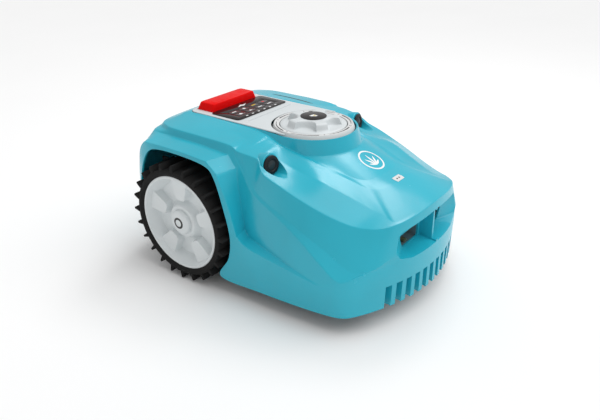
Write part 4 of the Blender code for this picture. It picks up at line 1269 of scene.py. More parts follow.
# ------------------------------------------------------------------------- top deck
@dataclass
class TopDeck:
    """Grey panel, keypad with its prints, stop bar and the prints on the hood."""

    body: str = "machine"
    panel_edge: float = 0.0009
    led_pitch: float = 0.0150
    led_y: float = 0.0893
    groove_y: float = 0.0705

    def panel(self) -> None:
        """Panel with a hollow front for the dial and a shallow groove before the keypad."""
        low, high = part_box("top_panel")
        ring_low, ring_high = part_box("dial_ring")
        dial = Vector(((ring_low.x + ring_high.x) / 2, (ring_low.y + ring_high.y) / 2))
        outline = rounded([(high.x, dial.y + 0.005, 0), (high.x, high.y, 0.0175), (low.x, high.y, 0.0175),
                           (low.x, dial.y + 0.005, 0)], 10)
        panel = slab("deck_panel", outline, low.z, high.z)
        stop_low, stop_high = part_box("stop_button")
        hollow = rod("hollow", Vector((dial.x, dial.y, 0.24)), Vector((0, 0, 1)), 0.02, 0.0693, None, 128)
        margin = 0.0007
        seat = slab("seat", rounded_box(stop_low.x - margin, stop_high.x + margin, stop_low.y - margin,
                                        stop_high.y + margin, 0.004), 0.24, 0.26)
        combine(panel, hollow, seat)
        softened(panel, self.panel_edge, 3)
        groove = slab("groove", rounded_box(-0.0560, 0.0560, self.groove_y - 0.0006, self.groove_y + 0.0006,
                                            0.0005), high.z - 0.0007, high.z + 0.01)
        combine(panel, groove)
        finished(panel, PANEL_GREY, self.body, ["top_panel"], 30.0)

    def keypad(self) -> None:
        """Glossy film with its printed lamps and main symbol."""
        low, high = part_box("keypad")
        film = slab("keypad_sheet", rounded_box(low.x, high.x, low.y, high.y, 0.0085, 8), low.z, high.z)
        holes = []
        for index in range(8):
            a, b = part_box(f"key_{index + 1}")
            holes.append(slab("hole", rounded_box(a.x - 0.0004, b.x + 0.0004, a.y - 0.0004, b.y + 0.0004,
                                                  0.0014, 3), low.z - 0.01, high.z + 0.01))
        combine(film, united("holes", holes))
        softened(film, 0.00025, 2)
        finished(film, FILM, self.body, ["keypad"], 30.0)
        top = high.z + 0.00003
        lamp = slab("lamp", rounded_box(-0.0022, 0.0022, -0.0014, 0.0014, 0.0006, 2), 0.0, 0.00008)
        lamps = Repeater("lamp_prints", 6, (-2.5 * self.led_pitch, self.led_y, top),
                         (self.led_pitch, 0.0, 0.0))
        finished(lamps.build(lamp, WHITE_INK), WHITE_INK, self.body)
        wave = [(-0.0140, 0.1310, 0.001), (-0.0040, 0.1330, 0.002), (0.0010, 0.1302, 0.001),
                (0.0140, 0.1366, 0.001), (0.0040, 0.1352, 0.002), (-0.0010, 0.1384, 0.001)]
        finished(slab("main_symbol_print", rounded(wave, 3), top, top + 0.00008), WHITE_INK, self.body)

    def keys(self) -> None:
        """Eight keys, each a low pad with one plain printed mark."""
        inks = [WHITE_INK] * 8
        inks[6] = YELLOW_INK
        inks[7] = RED_INK
        for index, ink in enumerate(inks):
            node = f"key_{index + 1}"
            low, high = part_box(node)
            pad = slab(f"{node}_pad", rounded_box(low.x, high.x, low.y, high.y, 0.0012, 4), low.z, high.z)
            softened(pad, 0.0003, 2)
            finished(pad, KEY_FILM, f"button_{index + 1}", [node])
            middle = (low + high) / 2
            outline = [(middle.x + a, middle.y + b) for a, b in self.mark(index)]
            print_ = slab(f"{node}_mark", outline, high.z + 0.00003, high.z + 0.00011)
            finished(print_, ink, f"button_{index + 1}")

    def mark(self, index: int) -> list[Point2]:
        """Plain mark of a key: a bar, an arrowhead, a house or a disc.

        Args:
            index: the key's index, from 0.

        Returns:
            The outline.
        """
        bar = rounded_box(-0.0050, 0.0050, -0.0012, 0.0012, 0.0008, 3)
        arrow = rounded([(-0.0040, -0.0020, 0.0004), (0.0040, -0.0020, 0.0004), (0.0, 0.0028, 0.0004)], 2)
        house = [(-0.0030, -0.0026), (0.0030, -0.0026), (0.0030, 0.0004), (0.0044, 0.0004), (0.0, 0.0032),
                 (-0.0044, 0.0004), (-0.0030, 0.0004)]
        disc = [(0.0028 * math.cos(math.tau * i / 20), 0.0028 * math.sin(math.tau * i / 20))
                for i in range(20)]
        return (house, arrow, bar, bar, bar, disc, bar, disc)[index]

    def stop_bar(self) -> None:
        """Wide bar with sloped sides, round corners and a row of shallow grip pads."""
        low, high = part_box("stop_button")
        brim = low.z + 0.0175
        levels = ((0.0, low.z + 0.0105), (0.0, brim), (0.0034, high.z - 0.0022), (0.0044, high.z - 0.0008),
                  (0.0062, high.z))
        sections = []
        for inset, level in levels:
            outline = rounded_box(low.x + inset, high.x - inset, low.y + 0.35 * inset, high.y - inset,
                                  0.0062, 8)
            sections.append((outline, level))
        bar = loft("stop_bar", sections)
        stem = block("stem", (-0.0400, 0.1600, low.z), (0.0400, 0.1770, low.z + 0.0110))
        combine(bar, stem, how="UNION")
        finished(bar, STOP_RED, "stop", ["stop_button"], 30.0)
        pad = slab("pad", rounded_box(-0.0075, 0.0075, -0.0085, 0.0085, 0.002, 4), 0.0, 0.00035)
        grip = Repeater("stop_grip", 4, (-0.033, 0.1655, high.z - 0.0003), (0.022, 0.0, 0.0))
        pads = softened(grip.build(pad, STOP_RED), 0.0002, 1)
        finished(pads, STOP_RED, "stop")

    def hood_prints(self) -> None:
        """Plain ring and leaf on the hood's tongue, and a dark stripe of painted shade along the crease
        beside the panel.
        """
        centre = Vector((0.003, -0.131))
        ring = annulus("hood_ring_print", centre, 0.0185, 0.0212)
        finished(draped(ring, "cover_shell", 0.00006), WHITE_INK, self.body)
        blades = []
        for turn, reach in ((-62, 0.0105), (-32, 0.0145), (0, 0.0170), (32, 0.0145), (62, 0.0105)):
            blades.append(grass_blade(centre + Vector((0.0, -0.0115)), math.radians(turn), reach))
        finished(draped(united("hood_leaf_print", blades), "cover_shell", 0.00006), WHITE_INK, self.body)
        # Painted shade: a dark ink stripe laid along the cover's low crease beside the panel stands in for
        # the shade in that crease.
        stripe = strip("shoulder_stripe_print", Vector((0.1005, 0.148)), Vector((0.0985, 0.052)), 0.0021)
        finished(draped(stripe, "cover_shell", 0.00006), BLACK_INK_AND_PAINTED_SHADE, self.body)

    def label(self) -> None:
        """Small label on the front of the hood with two plain dots."""
        low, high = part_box("label_plate")
        middle = (low + high) / 2
        plate = strip("hood_label", Vector((low.x, middle.y)), Vector((high.x, middle.y)),
                      (high.y - low.y) / 2,
                      100.0)
        finished(draped(plate, "cover_shell", 0.00025), RING_WHITE, self.body, ["label_plate"])
        dot = annulus("dot", Vector((0.0, 0.0)), 0.0, 0.0016, 0.00008, 16)
        dots = Repeater("label_dots", 2, (middle.x - 0.0030, middle.y, 0.0), (0.0060, 0.0, 0.0))
        finished(draped(dots.build(dot, BLACK_INK_AND_PAINTED_SHADE), "hood_label", 0.00004), BLACK_INK_AND_PAINTED_SHADE, self.body)

    def build(self) -> None:
        """Build the deck's pieces."""
        for make in (self.panel, self.keypad, self.keys, self.stop_bar, self.hood_prints, self.label):
            make()


def annulus(name: str, centre: Vector, inner: float, outer: float, thick: float = PRINT_THICKNESS,
            segments: int = 48) -> bpy.types.Object:
    """Flat ring or disc about a point, lying at height 0."""
    profile = [(inner, 0.0), (outer, 0.0), (outer, thick), (inner, thick)]
    return revolved(name, profile, Matrix.Translation((centre.x, centre.y, 0.0)), segments)


def ribbon(name: str, pairs: Sequence[tuple[Vector, Vector]]) -> bpy.types.Object:
    """Thin flat print through pairs of edge points.

    Args:
        name: the piece's name.
        pairs: left and right edge points of each cross line, in order.

    Returns:
        The print, lying at height 0.
    """
    bm = bmesh.new()
    lower, upper = [[[bm.verts.new((*point, level)) for point in pair] for pair in pairs]
                    for level in (0.0, PRINT_THICKNESS)]
    last = len(pairs) - 1
    for i in range(last):
        bm.faces.new((lower[i][0], lower[i][1], lower[i + 1][1], lower[i + 1][0]))
        bm.faces.new((upper[i][0], upper[i + 1][0], upper[i + 1][1], upper[i][1]))
        for k in (0, 1):
            bm.faces.new((lower[i][k], lower[i + 1][k], upper[i + 1][k], upper[i][k]))
    for i in (0, last):
        bm.faces.new((lower[i][0], lower[i][1], upper[i][1], upper[i][0]))
    return mesh_object(name, bm)


def grass_blade(foot: Vector, turn: float, reach: float, width: float = 0.0034) -> bpy.types.Object:
    """Slim pointed leaf from a foot, in a few cross strips so that it can be draped.

    Args:
        foot: the leaf's foot.
        turn: its lean to the side, in radians.
        reach: its length from the foot.
        width: its widest part.

    Returns:
        The leaf, lying at height 0.
    """
    axis = Vector((math.sin(turn), math.cos(turn)))
    side = Vector((axis.y, -axis.x))
    rows = 8
    pairs = []
    for i in range(rows + 1):
        t = i / rows
        half = width / 2 * math.sin(math.pi * min(0.97, 0.06 + 0.92 * t))
        middle = foot + axis * (reach * 1.4 * t)
        pairs.append((middle - side * half, middle + side * half))
    return ribbon("blade_print", pairs)


def strip(name: str, start: Vector, end: Vector, half: float, taper: float = 8.0,
          rows: int = 24) -> bpy.types.Object:
    """Flat stripe whose ends narrow over a share of its length, in cross strips so that it can be draped.

    Args:
        name: the piece's name.
        start: middle of one end.
        end: middle of the other end.
        half: half of its width.
        taper: one over the share of the length that narrows.
        rows: number of cross strips.

    Returns:
        The stripe, lying at height 0.
    """
    along_ = end - start
    side = Vector((along_.y, -along_.x)).normalized()
    pairs = []
    for i in range(rows + 1):
        t = i / rows
        width = half * min(1.0, taper * t + 0.05, taper * (1 - t) + 0.05)
        pairs.append((start + along_ * t + side * width, start + along_ * t - side * width))
    return ribbon(name, pairs)


# ------------------------------------------------------------------------- height dial
@dataclass
class HeightDial:
    """Printed ring, knob with five finger hollows, and its round sticker."""

    lobes: int = 5
    lobe_r: float = 0.0445
    hollow_r: float = 0.0185
    hollow_at: float = 0.0465
    arc_r: float = 0.0610

    def centre(self) -> Vector:
        """Middle of the dial."""
        low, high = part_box("dial_ring")
        return Vector(((low.x + high.x) / 2, (low.y + high.y) / 2, 0.0))

    def ring(self) -> None:
        """Ring that slopes out into a shadow gap, with its printed arcs and marks."""
        low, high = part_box("dial_ring")
        outer = (high.x - low.x) / 2
        profile = rounded([(0.0560, low.z, 0), (outer, low.z, 0), (outer, low.z + 0.0010, 0.0003),
                           (outer - 0.0032, high.z, 0.0010), (outer - 0.0042, high.z, 0.0006),
                           (outer - 0.0048, high.z - 0.0007, 0.0004), (0.0562, high.z - 0.0009, 0.0006)], 4)
        place = Matrix.Translation(self.centre())
        finished(revolved("scale_ring", profile, place, 160), RING_WHITE, "machine", ["dial_ring"], 30.0)
        top = high.z - 0.00072
        arc = self.arc("arc", math.radians(44), top)
        arcs = Repeater("dial_arcs", self.lobes + 1, tuple(self.centre()), turn=(0.0, 0.0, math.tau / 6))
        finished(arcs.build(arc, BLACK_INK_AND_PAINTED_SHADE), BLACK_INK_AND_PAINTED_SHADE, "machine")
        tick = slab("tick", rounded([(self.arc_r - 0.0022, -0.0006, 0.0002),
                                     (self.arc_r + 0.0020, -0.0004, 0.0002),
                                     (self.arc_r + 0.0020, 0.0004, 0.0002),
                                     (self.arc_r - 0.0022, 0.0006, 0.0002)], 2),
                    top, top + 0.0001)
        first = math.radians(52)
        tick.data.transform(Matrix.Rotation(first, 4, "Z"))
        ticks = Repeater("dial_ticks", self.lobes + 1, tuple(self.centre()), turn=(0.0, 0.0, math.tau / 6))
        finished(ticks.build(tick, BLACK_INK_AND_PAINTED_SHADE), BLACK_INK_AND_PAINTED_SHADE, "machine")

    def arc(self, name: str, sweep: float, level: float) -> bpy.types.Object:
        """Printed arc that grows from a hair to a bold line.

        Args:
            name: the piece's name.
            sweep: its angle in radians.
            level: height of its lower face.

        Returns:
            The arc.
        """
        steps = 24
        inner, outer = [], []
        for i in range(steps + 1):
            angle = sweep * i / steps
            half = 0.0003 + 0.0010 * i / steps
            inner.append(((self.arc_r - half) * math.cos(angle), (self.arc_r - half) * math.sin(angle)))
            outer.append(((self.arc_r + half) * math.cos(angle), (self.arc_r + half) * math.sin(angle)))
        return slab(name, inner + outer[::-1], level, level + 0.0001)

    def reach(self, angle: float) -> float:
        """Radius of the grip's outline in a direction: a circle with round bites.

        Args:
            angle: direction from the middle, in radians.

        Returns:
            The radius.
        """
        pitch = math.tau / self.lobes
        offset = (angle + math.pi / 2 + pitch / 2) % pitch - pitch / 2
        across_ = self.hollow_at * math.sin(offset)
        if abs(across_) >= self.hollow_r:
            return self.lobe_r
        bite = self.hollow_at * math.cos(offset) - math.sqrt(self.hollow_r ** 2 - across_ ** 2)
        blend = 0.0022
        gap = (self.lobe_r - bite) / blend
        return self.lobe_r - blend * math.log1p(math.exp(gap)) if gap < 30 else bite

    def knob(self) -> None:
        """Knob as rings that follow the lobed outline, from the middle of the top to its underside."""
        low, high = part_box("height_knob")
        disc_r = (high.x - low.x) / 2
        disc_z = high.z - 0.0110
        top = high.z
        rows = [(0.0, 0.0, top), (0.45, 0.0, top), (0.80, 0.0, top - 0.0001), (1.0, -0.0050, top - 0.0003),
                (1.0, -0.0034, top - 0.0008), (1.0, -0.0020, top - 0.0019), (1.0, -0.0012, top - 0.0034),
                (1.0, 0.0006, disc_z + 0.0030), (1.0, 0.0016, disc_z + 0.0010),
                (1.0, 0.0032, disc_z + 0.0002)]
        flat = [(0.80, disc_z), (0.97, disc_z - 0.0002), (1.0, disc_z - 0.0012), (1.0, low.z), (0.0, low.z)]
        count = 320
        bm = bmesh.new()
        rings = []
        for share, shift, level in rows:
            ring = []
            for i in range(count):
                angle = math.tau * i / count
                radius = max(0.0, share * (self.reach(angle) + shift))
                ring.append(bm.verts.new((radius * math.cos(angle), radius * math.sin(angle), level)))
            rings.append(ring)
        edge = self.lobe_r + 0.0032
        for share, level in flat:
            radius = max(disc_r * share, edge + 0.0006) if 0.0 < share < 0.9 else disc_r * share
            rings.append([bm.verts.new((radius * math.cos(math.tau * i / count),
                                        radius * math.sin(math.tau * i / count), level))
                                        for i in range(count)])
        for upper, lower in zip(rings, rings[1:]):
            for i in range(count):
                j = (i + 1) % count
                bm.faces.new((upper[i], upper[j], lower[j], lower[i]))
        bm.transform(Matrix.Translation(self.centre()))
        bmesh.ops.remove_doubles(bm, verts=bm.verts, dist=1e-6)
        bmesh.ops.dissolve_degenerate(bm, edges=bm.edges, dist=1e-7)
        finished(mesh_object("lobed_knob", bm), PANEL_GREY, "knob", ["height_knob"], 40.0)

    def sticker(self) -> None:
        """Dark round sticker with a plain white house mark and a yellow dot."""
        low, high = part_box("knob_cap")
        radius = (high.x - low.x) / 2
        profile = rounded([(0.0, low.z, 0), (radius, low.z, 0), (radius, high.z, 0.0002), (0.0, high.z, 0)],
                          2)
        place = Matrix.Translation(self.centre())
        finished(revolved("knob_sticker", profile, place, 96), STICKER, "knob", ["knob_cap"])
        level = high.z + 0.00003
        roof = [(-0.0075, -0.0010), (0.0, 0.0052), (0.0075, -0.0010), (0.0052, -0.0010), (0.0052, -0.0042),
                (-0.0052, -0.0042), (-0.0052, -0.0010)]
        turn = math.radians(-54)
        house = [(x * math.cos(turn) - y * math.sin(turn), x * math.sin(turn) + y * math.cos(turn)) for x,
                 y in roof]
        middle = self.centre()
        marks = slab("sticker_house", [(middle.x + x, middle.y + y) for x, y in house], level,
                     level + 0.00008)
        finished(marks, WHITE_INK, "knob")
        dot = annulus("sticker_dot", middle.xy + Vector((0.0012, -0.0010)), 0.0, 0.0019)
        dot.data.transform(Matrix.Translation((0, 0, level + 0.00010)))
        finished(dot, YELLOW_INK, "knob")

    def build(self) -> None:
        """Build the dial's pieces."""
        self.ring()
        self.knob()
        self.sticker()


# ------------------------------------------------------------------------- front details
@dataclass
class FrontDetails:
    """Obstacle sensors and charging sockets of both sides."""

    cover: TopCover
    body: str = "machine"
    rim: float = 0.0046

    def sensor(self, side: Side) -> None:
        """Dark button with a slightly domed, lighter lens.

        Args:
            side: the side it is on.
        """
        middle, axis = self.cover.sensor_line(side)
        node = side.node("sensor")
        radius = self.cover.sensor_r - 0.0003
        profile = rounded([(0.0, -0.0065, 0), (0.0104, -0.0065, 0), (0.0104, 0.0002, 0.0),
                           (radius, 0.0002, 0.0003),
                           (radius, 0.0030, 0.0014), (0.0098, 0.0040, 0.0010), (0.0090, 0.0026, 0.0006),
                           (0.0, 0.0026, 0)], 4)
        finished(revolved(f"{node}_bezel", profile, along(middle, axis), 80), BLACK, self.body, [node],
                 30.0)
        lens = [(0.0, 0.00265)] + [(0.0088 * math.sin(math.radians(a)),
                                    0.0009 + 0.0030 * math.cos(math.radians(a)))
                                   for a in (90, 75, 60, 45, 30, 15, 0)]
        finished(revolved(f"{node}_lens", lens, along(middle, axis), 64), LENS, self.body)

    def socket(self, side: Side) -> None:
        """Dark tray behind the window, with its spring contact.

        Args:
            side: the side it is on.
        """
        node = side.node("charging_socket")
        low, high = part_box(node)
        rim = Vector((self.rim, 0.0, self.rim / 2))
        low, high = low - rim, high + rim
        tray = slab(f"{node}_tray", rounded_box(low.x, high.x, low.z, high.z, 0.0025, 4), low.y, high.y,
                    Plane.XZ)
        room = slab("room", rounded_box(low.x + 0.0012, high.x - 0.0012, low.z + 0.0012, high.z - 0.0012,
                                        0.0018, 4),
                    low.y - 0.01, high.y - 0.0012, Plane.XZ)
        combine(tray, room)
        finished(softened(tray, 0.0003, 2), SOCKET, self.body, [node], 30.0)
        strip_node = side.node("charging_contact")
        a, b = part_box(strip_node)
        outline = rounded([(a.y, a.z, 0.0004), (b.y, a.z, 0.0), (b.y, b.z, 0.0006),
                           (a.y + 0.004, b.z, 0.001),
                           (a.y, a.z + 0.0008, 0.0003)], 4)
        finished(slab(f"{strip_node}_spring", outline, a.x, b.x, Plane.YZ), CONTACT, self.body,
                 [strip_node])

    def build(self) -> None:
        """Build both sides."""
        for side in Side:
            self.sensor(side)
            self.socket(side)


# ------------------------------------------------------------------------- drive wheels
@dataclass
class DriveWheel:
    """Lugged tyre, dished rim with five pads, hub cap and axle of one side."""

    side: Side
    lugs: int = 24
    pads: int = 5
    tread_r: float = 0.0925
    rim_r: float = 0.0815
    wheel_r: float = 0.1035
    inner_x: float = 0.1345
    outer_x: float = 0.1925
    pad_turn: float = 18.0

    def body(self) -> str:
        """The wheel's CAD body."""
        return self.side.node("drive_wheel")

    def axle(self) -> Vector:
        """Middle of the axle, at X = 0.

        Returns:
            The point.
        """
        low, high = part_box(self.side.node("drive_tyre"))
        middle = (low + high) / 2
        return Vector((0.0, middle.y, middle.z))

    def place(self) -> Matrix:
        """Matrix that lays Z onto the outward side of X, and X onto +Y."""
        outward = Matrix(((0, 0, self.side.value, 0), (1, 0, 0, 0), (0, 1, 0, 0), (0, 0, 0, 1)))
        return Matrix.Translation(self.axle()) @ outward

    def tyre(self) -> None:
        """Tyre with a smooth band beside the rim and a ring of lugs."""
        x0, x1 = self.inner_x, self.outer_x
        profile = rounded([(self.rim_r + 0.0003, x0, 0.0004), (self.tread_r, x0, 0.003),
                           (self.tread_r + 0.0004, 0.163, 0),
                           (self.tread_r, x1 - 0.0010, 0.0028), (0.0865, x1 - 0.0004, 0.004),
                           (self.rim_r + 0.0003, x1 - 0.0034, 0.0006)], 5)
        tyre = revolved(self.side.node("tyre_carcass"), profile, self.place(), 144)
        finished(tyre, RUBBER, self.body(), [self.side.node("drive_tyre")], 30.0)
        ring = Repeater(self.side.node("tyre_lugs"), self.lugs, tuple(self.axle()),
                        turn=(math.tau / self.lugs, 0.0, 0.0),
                        jitter=0.012, seed=11)
        finished(ring.build(self.lug(), RUBBER), RUBBER, self.body(), crease=40.0)

    def lug(self) -> bpy.types.Object:
        """One paddle across the tread, thinner at its tip, with its outer corner cut back.

        Returns:
            The lug.
        """
        foot, tip = self.tread_r - 0.0018, self.wheel_r
        x0, x1 = self.inner_x + 0.004, self.outer_x
        low, high = sorted((self.side.value * x0, self.side.value * x1))
        lean = 0.0006
        sections = []
        for x in (low, high):
            cut = 0.0010 if abs(x) == x1 else 0.0
            outline = [(foot, -0.0036), (foot, 0.0036), (tip - cut, 0.0019 + lean),
                       (tip - cut, -0.0017 + lean)]
            sections.append(([(a, b) for a, b in outline], x))
        lug = loft("lug", sections, Plane.YZ)
        return softened(lug, 0.0009, 2, 30.0)

    def face_height(self, radius: float, angle: float) -> float:
        """Outward level of the rim's face: dish, pads, hub and lip.

        Args:
            radius: distance from the axle.
            angle: direction from the axle, in radians.

        Returns:
            The distance from the plane X = 0.
        """
        cone = min(1.0, max(0.0, (radius - 0.0660) / 0.0112))
        boss = smooth01((0.0365 - radius) / 0.0110)
        dish = soft_max(0.1660 + 0.0222 * cone, 0.1660 + 0.0140 * boss, 0.003)
        pitch = math.tau / self.pads
        offset = (angle - math.radians(self.pad_turn) + pitch / 2) % pitch - pitch / 2
        out, side = radius * math.cos(offset), abs(radius * math.sin(offset))
        half = 0.0110 + 0.0090 * (out - 0.037) / 0.038
        edge = soft_max(side - half, 0.0365 - out, 0.0060)
        pad = smooth01((0.0008 - edge) / 0.0022)
        level = dish + (max(0.1800, dish) - dish) * pad
        lip = smooth01((radius - 0.0766) / 0.0012)
        return level + (0.1889 - level) * lip

    def rim(self) -> None:
        """Face as rings from the hub to the lip, closed behind by the barrel."""
        count = 360
        node = self.side.node("wheel_rim")
        radii = [0.0200 + 0.0009 * i for i in range(63)] + [0.0763, 0.0767, 0.0771, 0.0775, 0.0779, 0.0790,
                                                            0.0800]
        back = [(0.0809, 0.1887), (self.rim_r, 0.1880), (self.rim_r, 0.1400), (0.0720, 0.1400),
                (0.0640, 0.1590),
                (0.0200, 0.1600), (0.0150, 0.1500), (0.0063, 0.1500), (0.0063, 0.1745), (0.0190, 0.1745)]
        bm = bmesh.new()
        rings = []
        for radius in radii:
            rings.append([bm.verts.new((radius * math.cos(math.tau * i / count),
                                        radius * math.sin(math.tau * i / count),
                                        self.face_height(radius, math.tau * i / count)))
                                        for i in range(count)])
        for radius, level in back:
            rings.append([bm.verts.new((radius * math.cos(math.tau * i / count),
                                        radius * math.sin(math.tau * i / count),
                                        level)) for i in range(count)])
        rings.append(rings[0])
        for upper, lower in zip(rings, rings[1:]):
            for i in range(count):
                j = (i + 1) % count
                bm.faces.new((upper[i], upper[j], lower[j], lower[i]))
        bm.transform(self.place())
        finished(mesh_object(f"{node}_disc", bm), RIM_GREY, self.body(), [node], 38.0)

    def hub(self) -> None:
        """Domed hub cap with a plain printed ring."""
        node = self.side.node("hub_cap")
        low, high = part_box(node)
        radius = (high.z - low.z) / 2
        base, top = sorted((abs(low.x), abs(high.x)))
        dome = [(radius * math.sin(math.radians(a)),
                 base + 0.0035 + (top - base - 0.0035) * math.cos(math.radians(a)))
                for a in (86, 80, 72, 64, 55, 45, 35, 25, 15, 7, 0)]
        profile = [(0.0, base), (radius + 0.0006, base), (radius + 0.0006, base + 0.0020)] + dome
        finished(revolved(f"{node}_dome", profile, self.place(), 96), RIM_GREY, self.body(), [node], 30.0)
        ring = [(0.0062, top - 0.00050), (0.0098, top - 0.00075), (0.0098, top - 0.00055),
                (0.0062, top - 0.00012)]
        finished(revolved(f"{node}_print", ring, self.place(), 64), BLACK_INK_AND_PAINTED_SHADE, self.body())

    def build(self) -> None:
        """Build the wheel and paint its axle."""
        self.tyre()
        self.rim()
        self.hub()
        painted(self.side.node("drive_axle"), STEEL)


def smooth01(t: float) -> float:
    """Smooth step from 0 to 1."""
    t = min(1.0, max(0.0, t))
    return t * t * (3 - 2 * t)


def soft_max(a: float, b: float, blend: float) -> float:
    """Larger of two lengths, rounded where they meet."""
    h = max(blend - abs(a - b), 0.0) / blend
    return max(a, b) + h * h * blend * 0.25


# ------------------------------------------------------------------------- casters
@dataclass
class Caster:
    """Front caster of one side: fork, pin and wheel."""

    side: Side

    def build(self) -> None:
        """Build the wheel with its groove and hub, and the rounded fork."""
        node = self.side.node("caster_wheel")
        low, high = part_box(node)
        middle = (low + high) / 2
        radius, half = (high.z - low.z) / 2, (high.x - low.x) / 2
        profile = rounded([(0.0033, -half, 0.0004), (0.0100, -half, 0.0006), (0.0120, -half + 0.003, 0.002),
                           (0.0230, -half + 0.003, 0.002), (0.0260, -half, 0.001),
                           (radius - 0.004, -half, 0.0035),
                           (radius, -half + 0.006, 0.004), (radius, -0.0014, 0.0006),
                           (radius - 0.0016, 0.0, 0.0008),
                           (radius, 0.0014, 0.0006), (radius, half - 0.006, 0.004),
                           (radius - 0.004, half, 0.0035),
                           (0.0260, half, 0.001), (0.0230, half - 0.003, 0.002),
                           (0.0120, half - 0.003, 0.002),
                           (0.0100, half, 0.0006), (0.0033, half, 0.0004)], 3)
        wheel = revolved(f"{node}_tread", profile, along(middle, (1, 0, 0)), 96)
        finished(wheel, DARK, self.side.node("caster_roller"), [node], 30.0)
        self.fork(middle)
        painted(self.side.node("caster_pin"), STEEL)

    def fork(self, wheel: Vector) -> None:
        """Two rounded cheeks, a bridge and the stem.

        Args:
            wheel: the wheel's centre.
        """
        node = self.side.node("caster_fork")
        low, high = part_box(node)
        stem = Vector(((low.x + high.x) / 2, low.y + 0.014))
        bridge_z = wheel.z * 2 + 0.0020
        cheek = rounded([(low.y, bridge_z + 0.0046, 0.002), (low.y, bridge_z - 0.004, 0.006),
                         (wheel.y - 0.0095, wheel.z - 0.0060, 0.007),
                         (wheel.y + 0.0090, wheel.z - 0.0060, 0.007),
                         (wheel.y + 0.0100, bridge_z + 0.0046, 0.003)], 5)
        parts = [slab("cheek", cheek, low.x, low.x + 0.0035, Plane.YZ),
                 slab("cheek", cheek, high.x - 0.0035, high.x, Plane.YZ)]
        fork = slab(f"{node}_yoke", rounded_box(low.x, high.x, low.y, wheel.y + 0.010, 0.003), bridge_z,
                    bridge_z + 0.0045)
        column = rod("stem", Vector((stem.x, stem.y, bridge_z + 0.002)), Vector((0, 0, 1)),
                     high.z - bridge_z - 0.002,
                     0.0060)
        combine(fork, *parts, column, how="UNION")
        pin = rod("pin", Vector((stem.x - 0.03, wheel.y, wheel.z)), Vector((1, 0, 0)), 0.06, 0.0033)
        combine(fork, pin)
        finished(softened(fork, 0.0005, 2, 40.0), DARK, self.side.node("caster"), [node], 30.0)


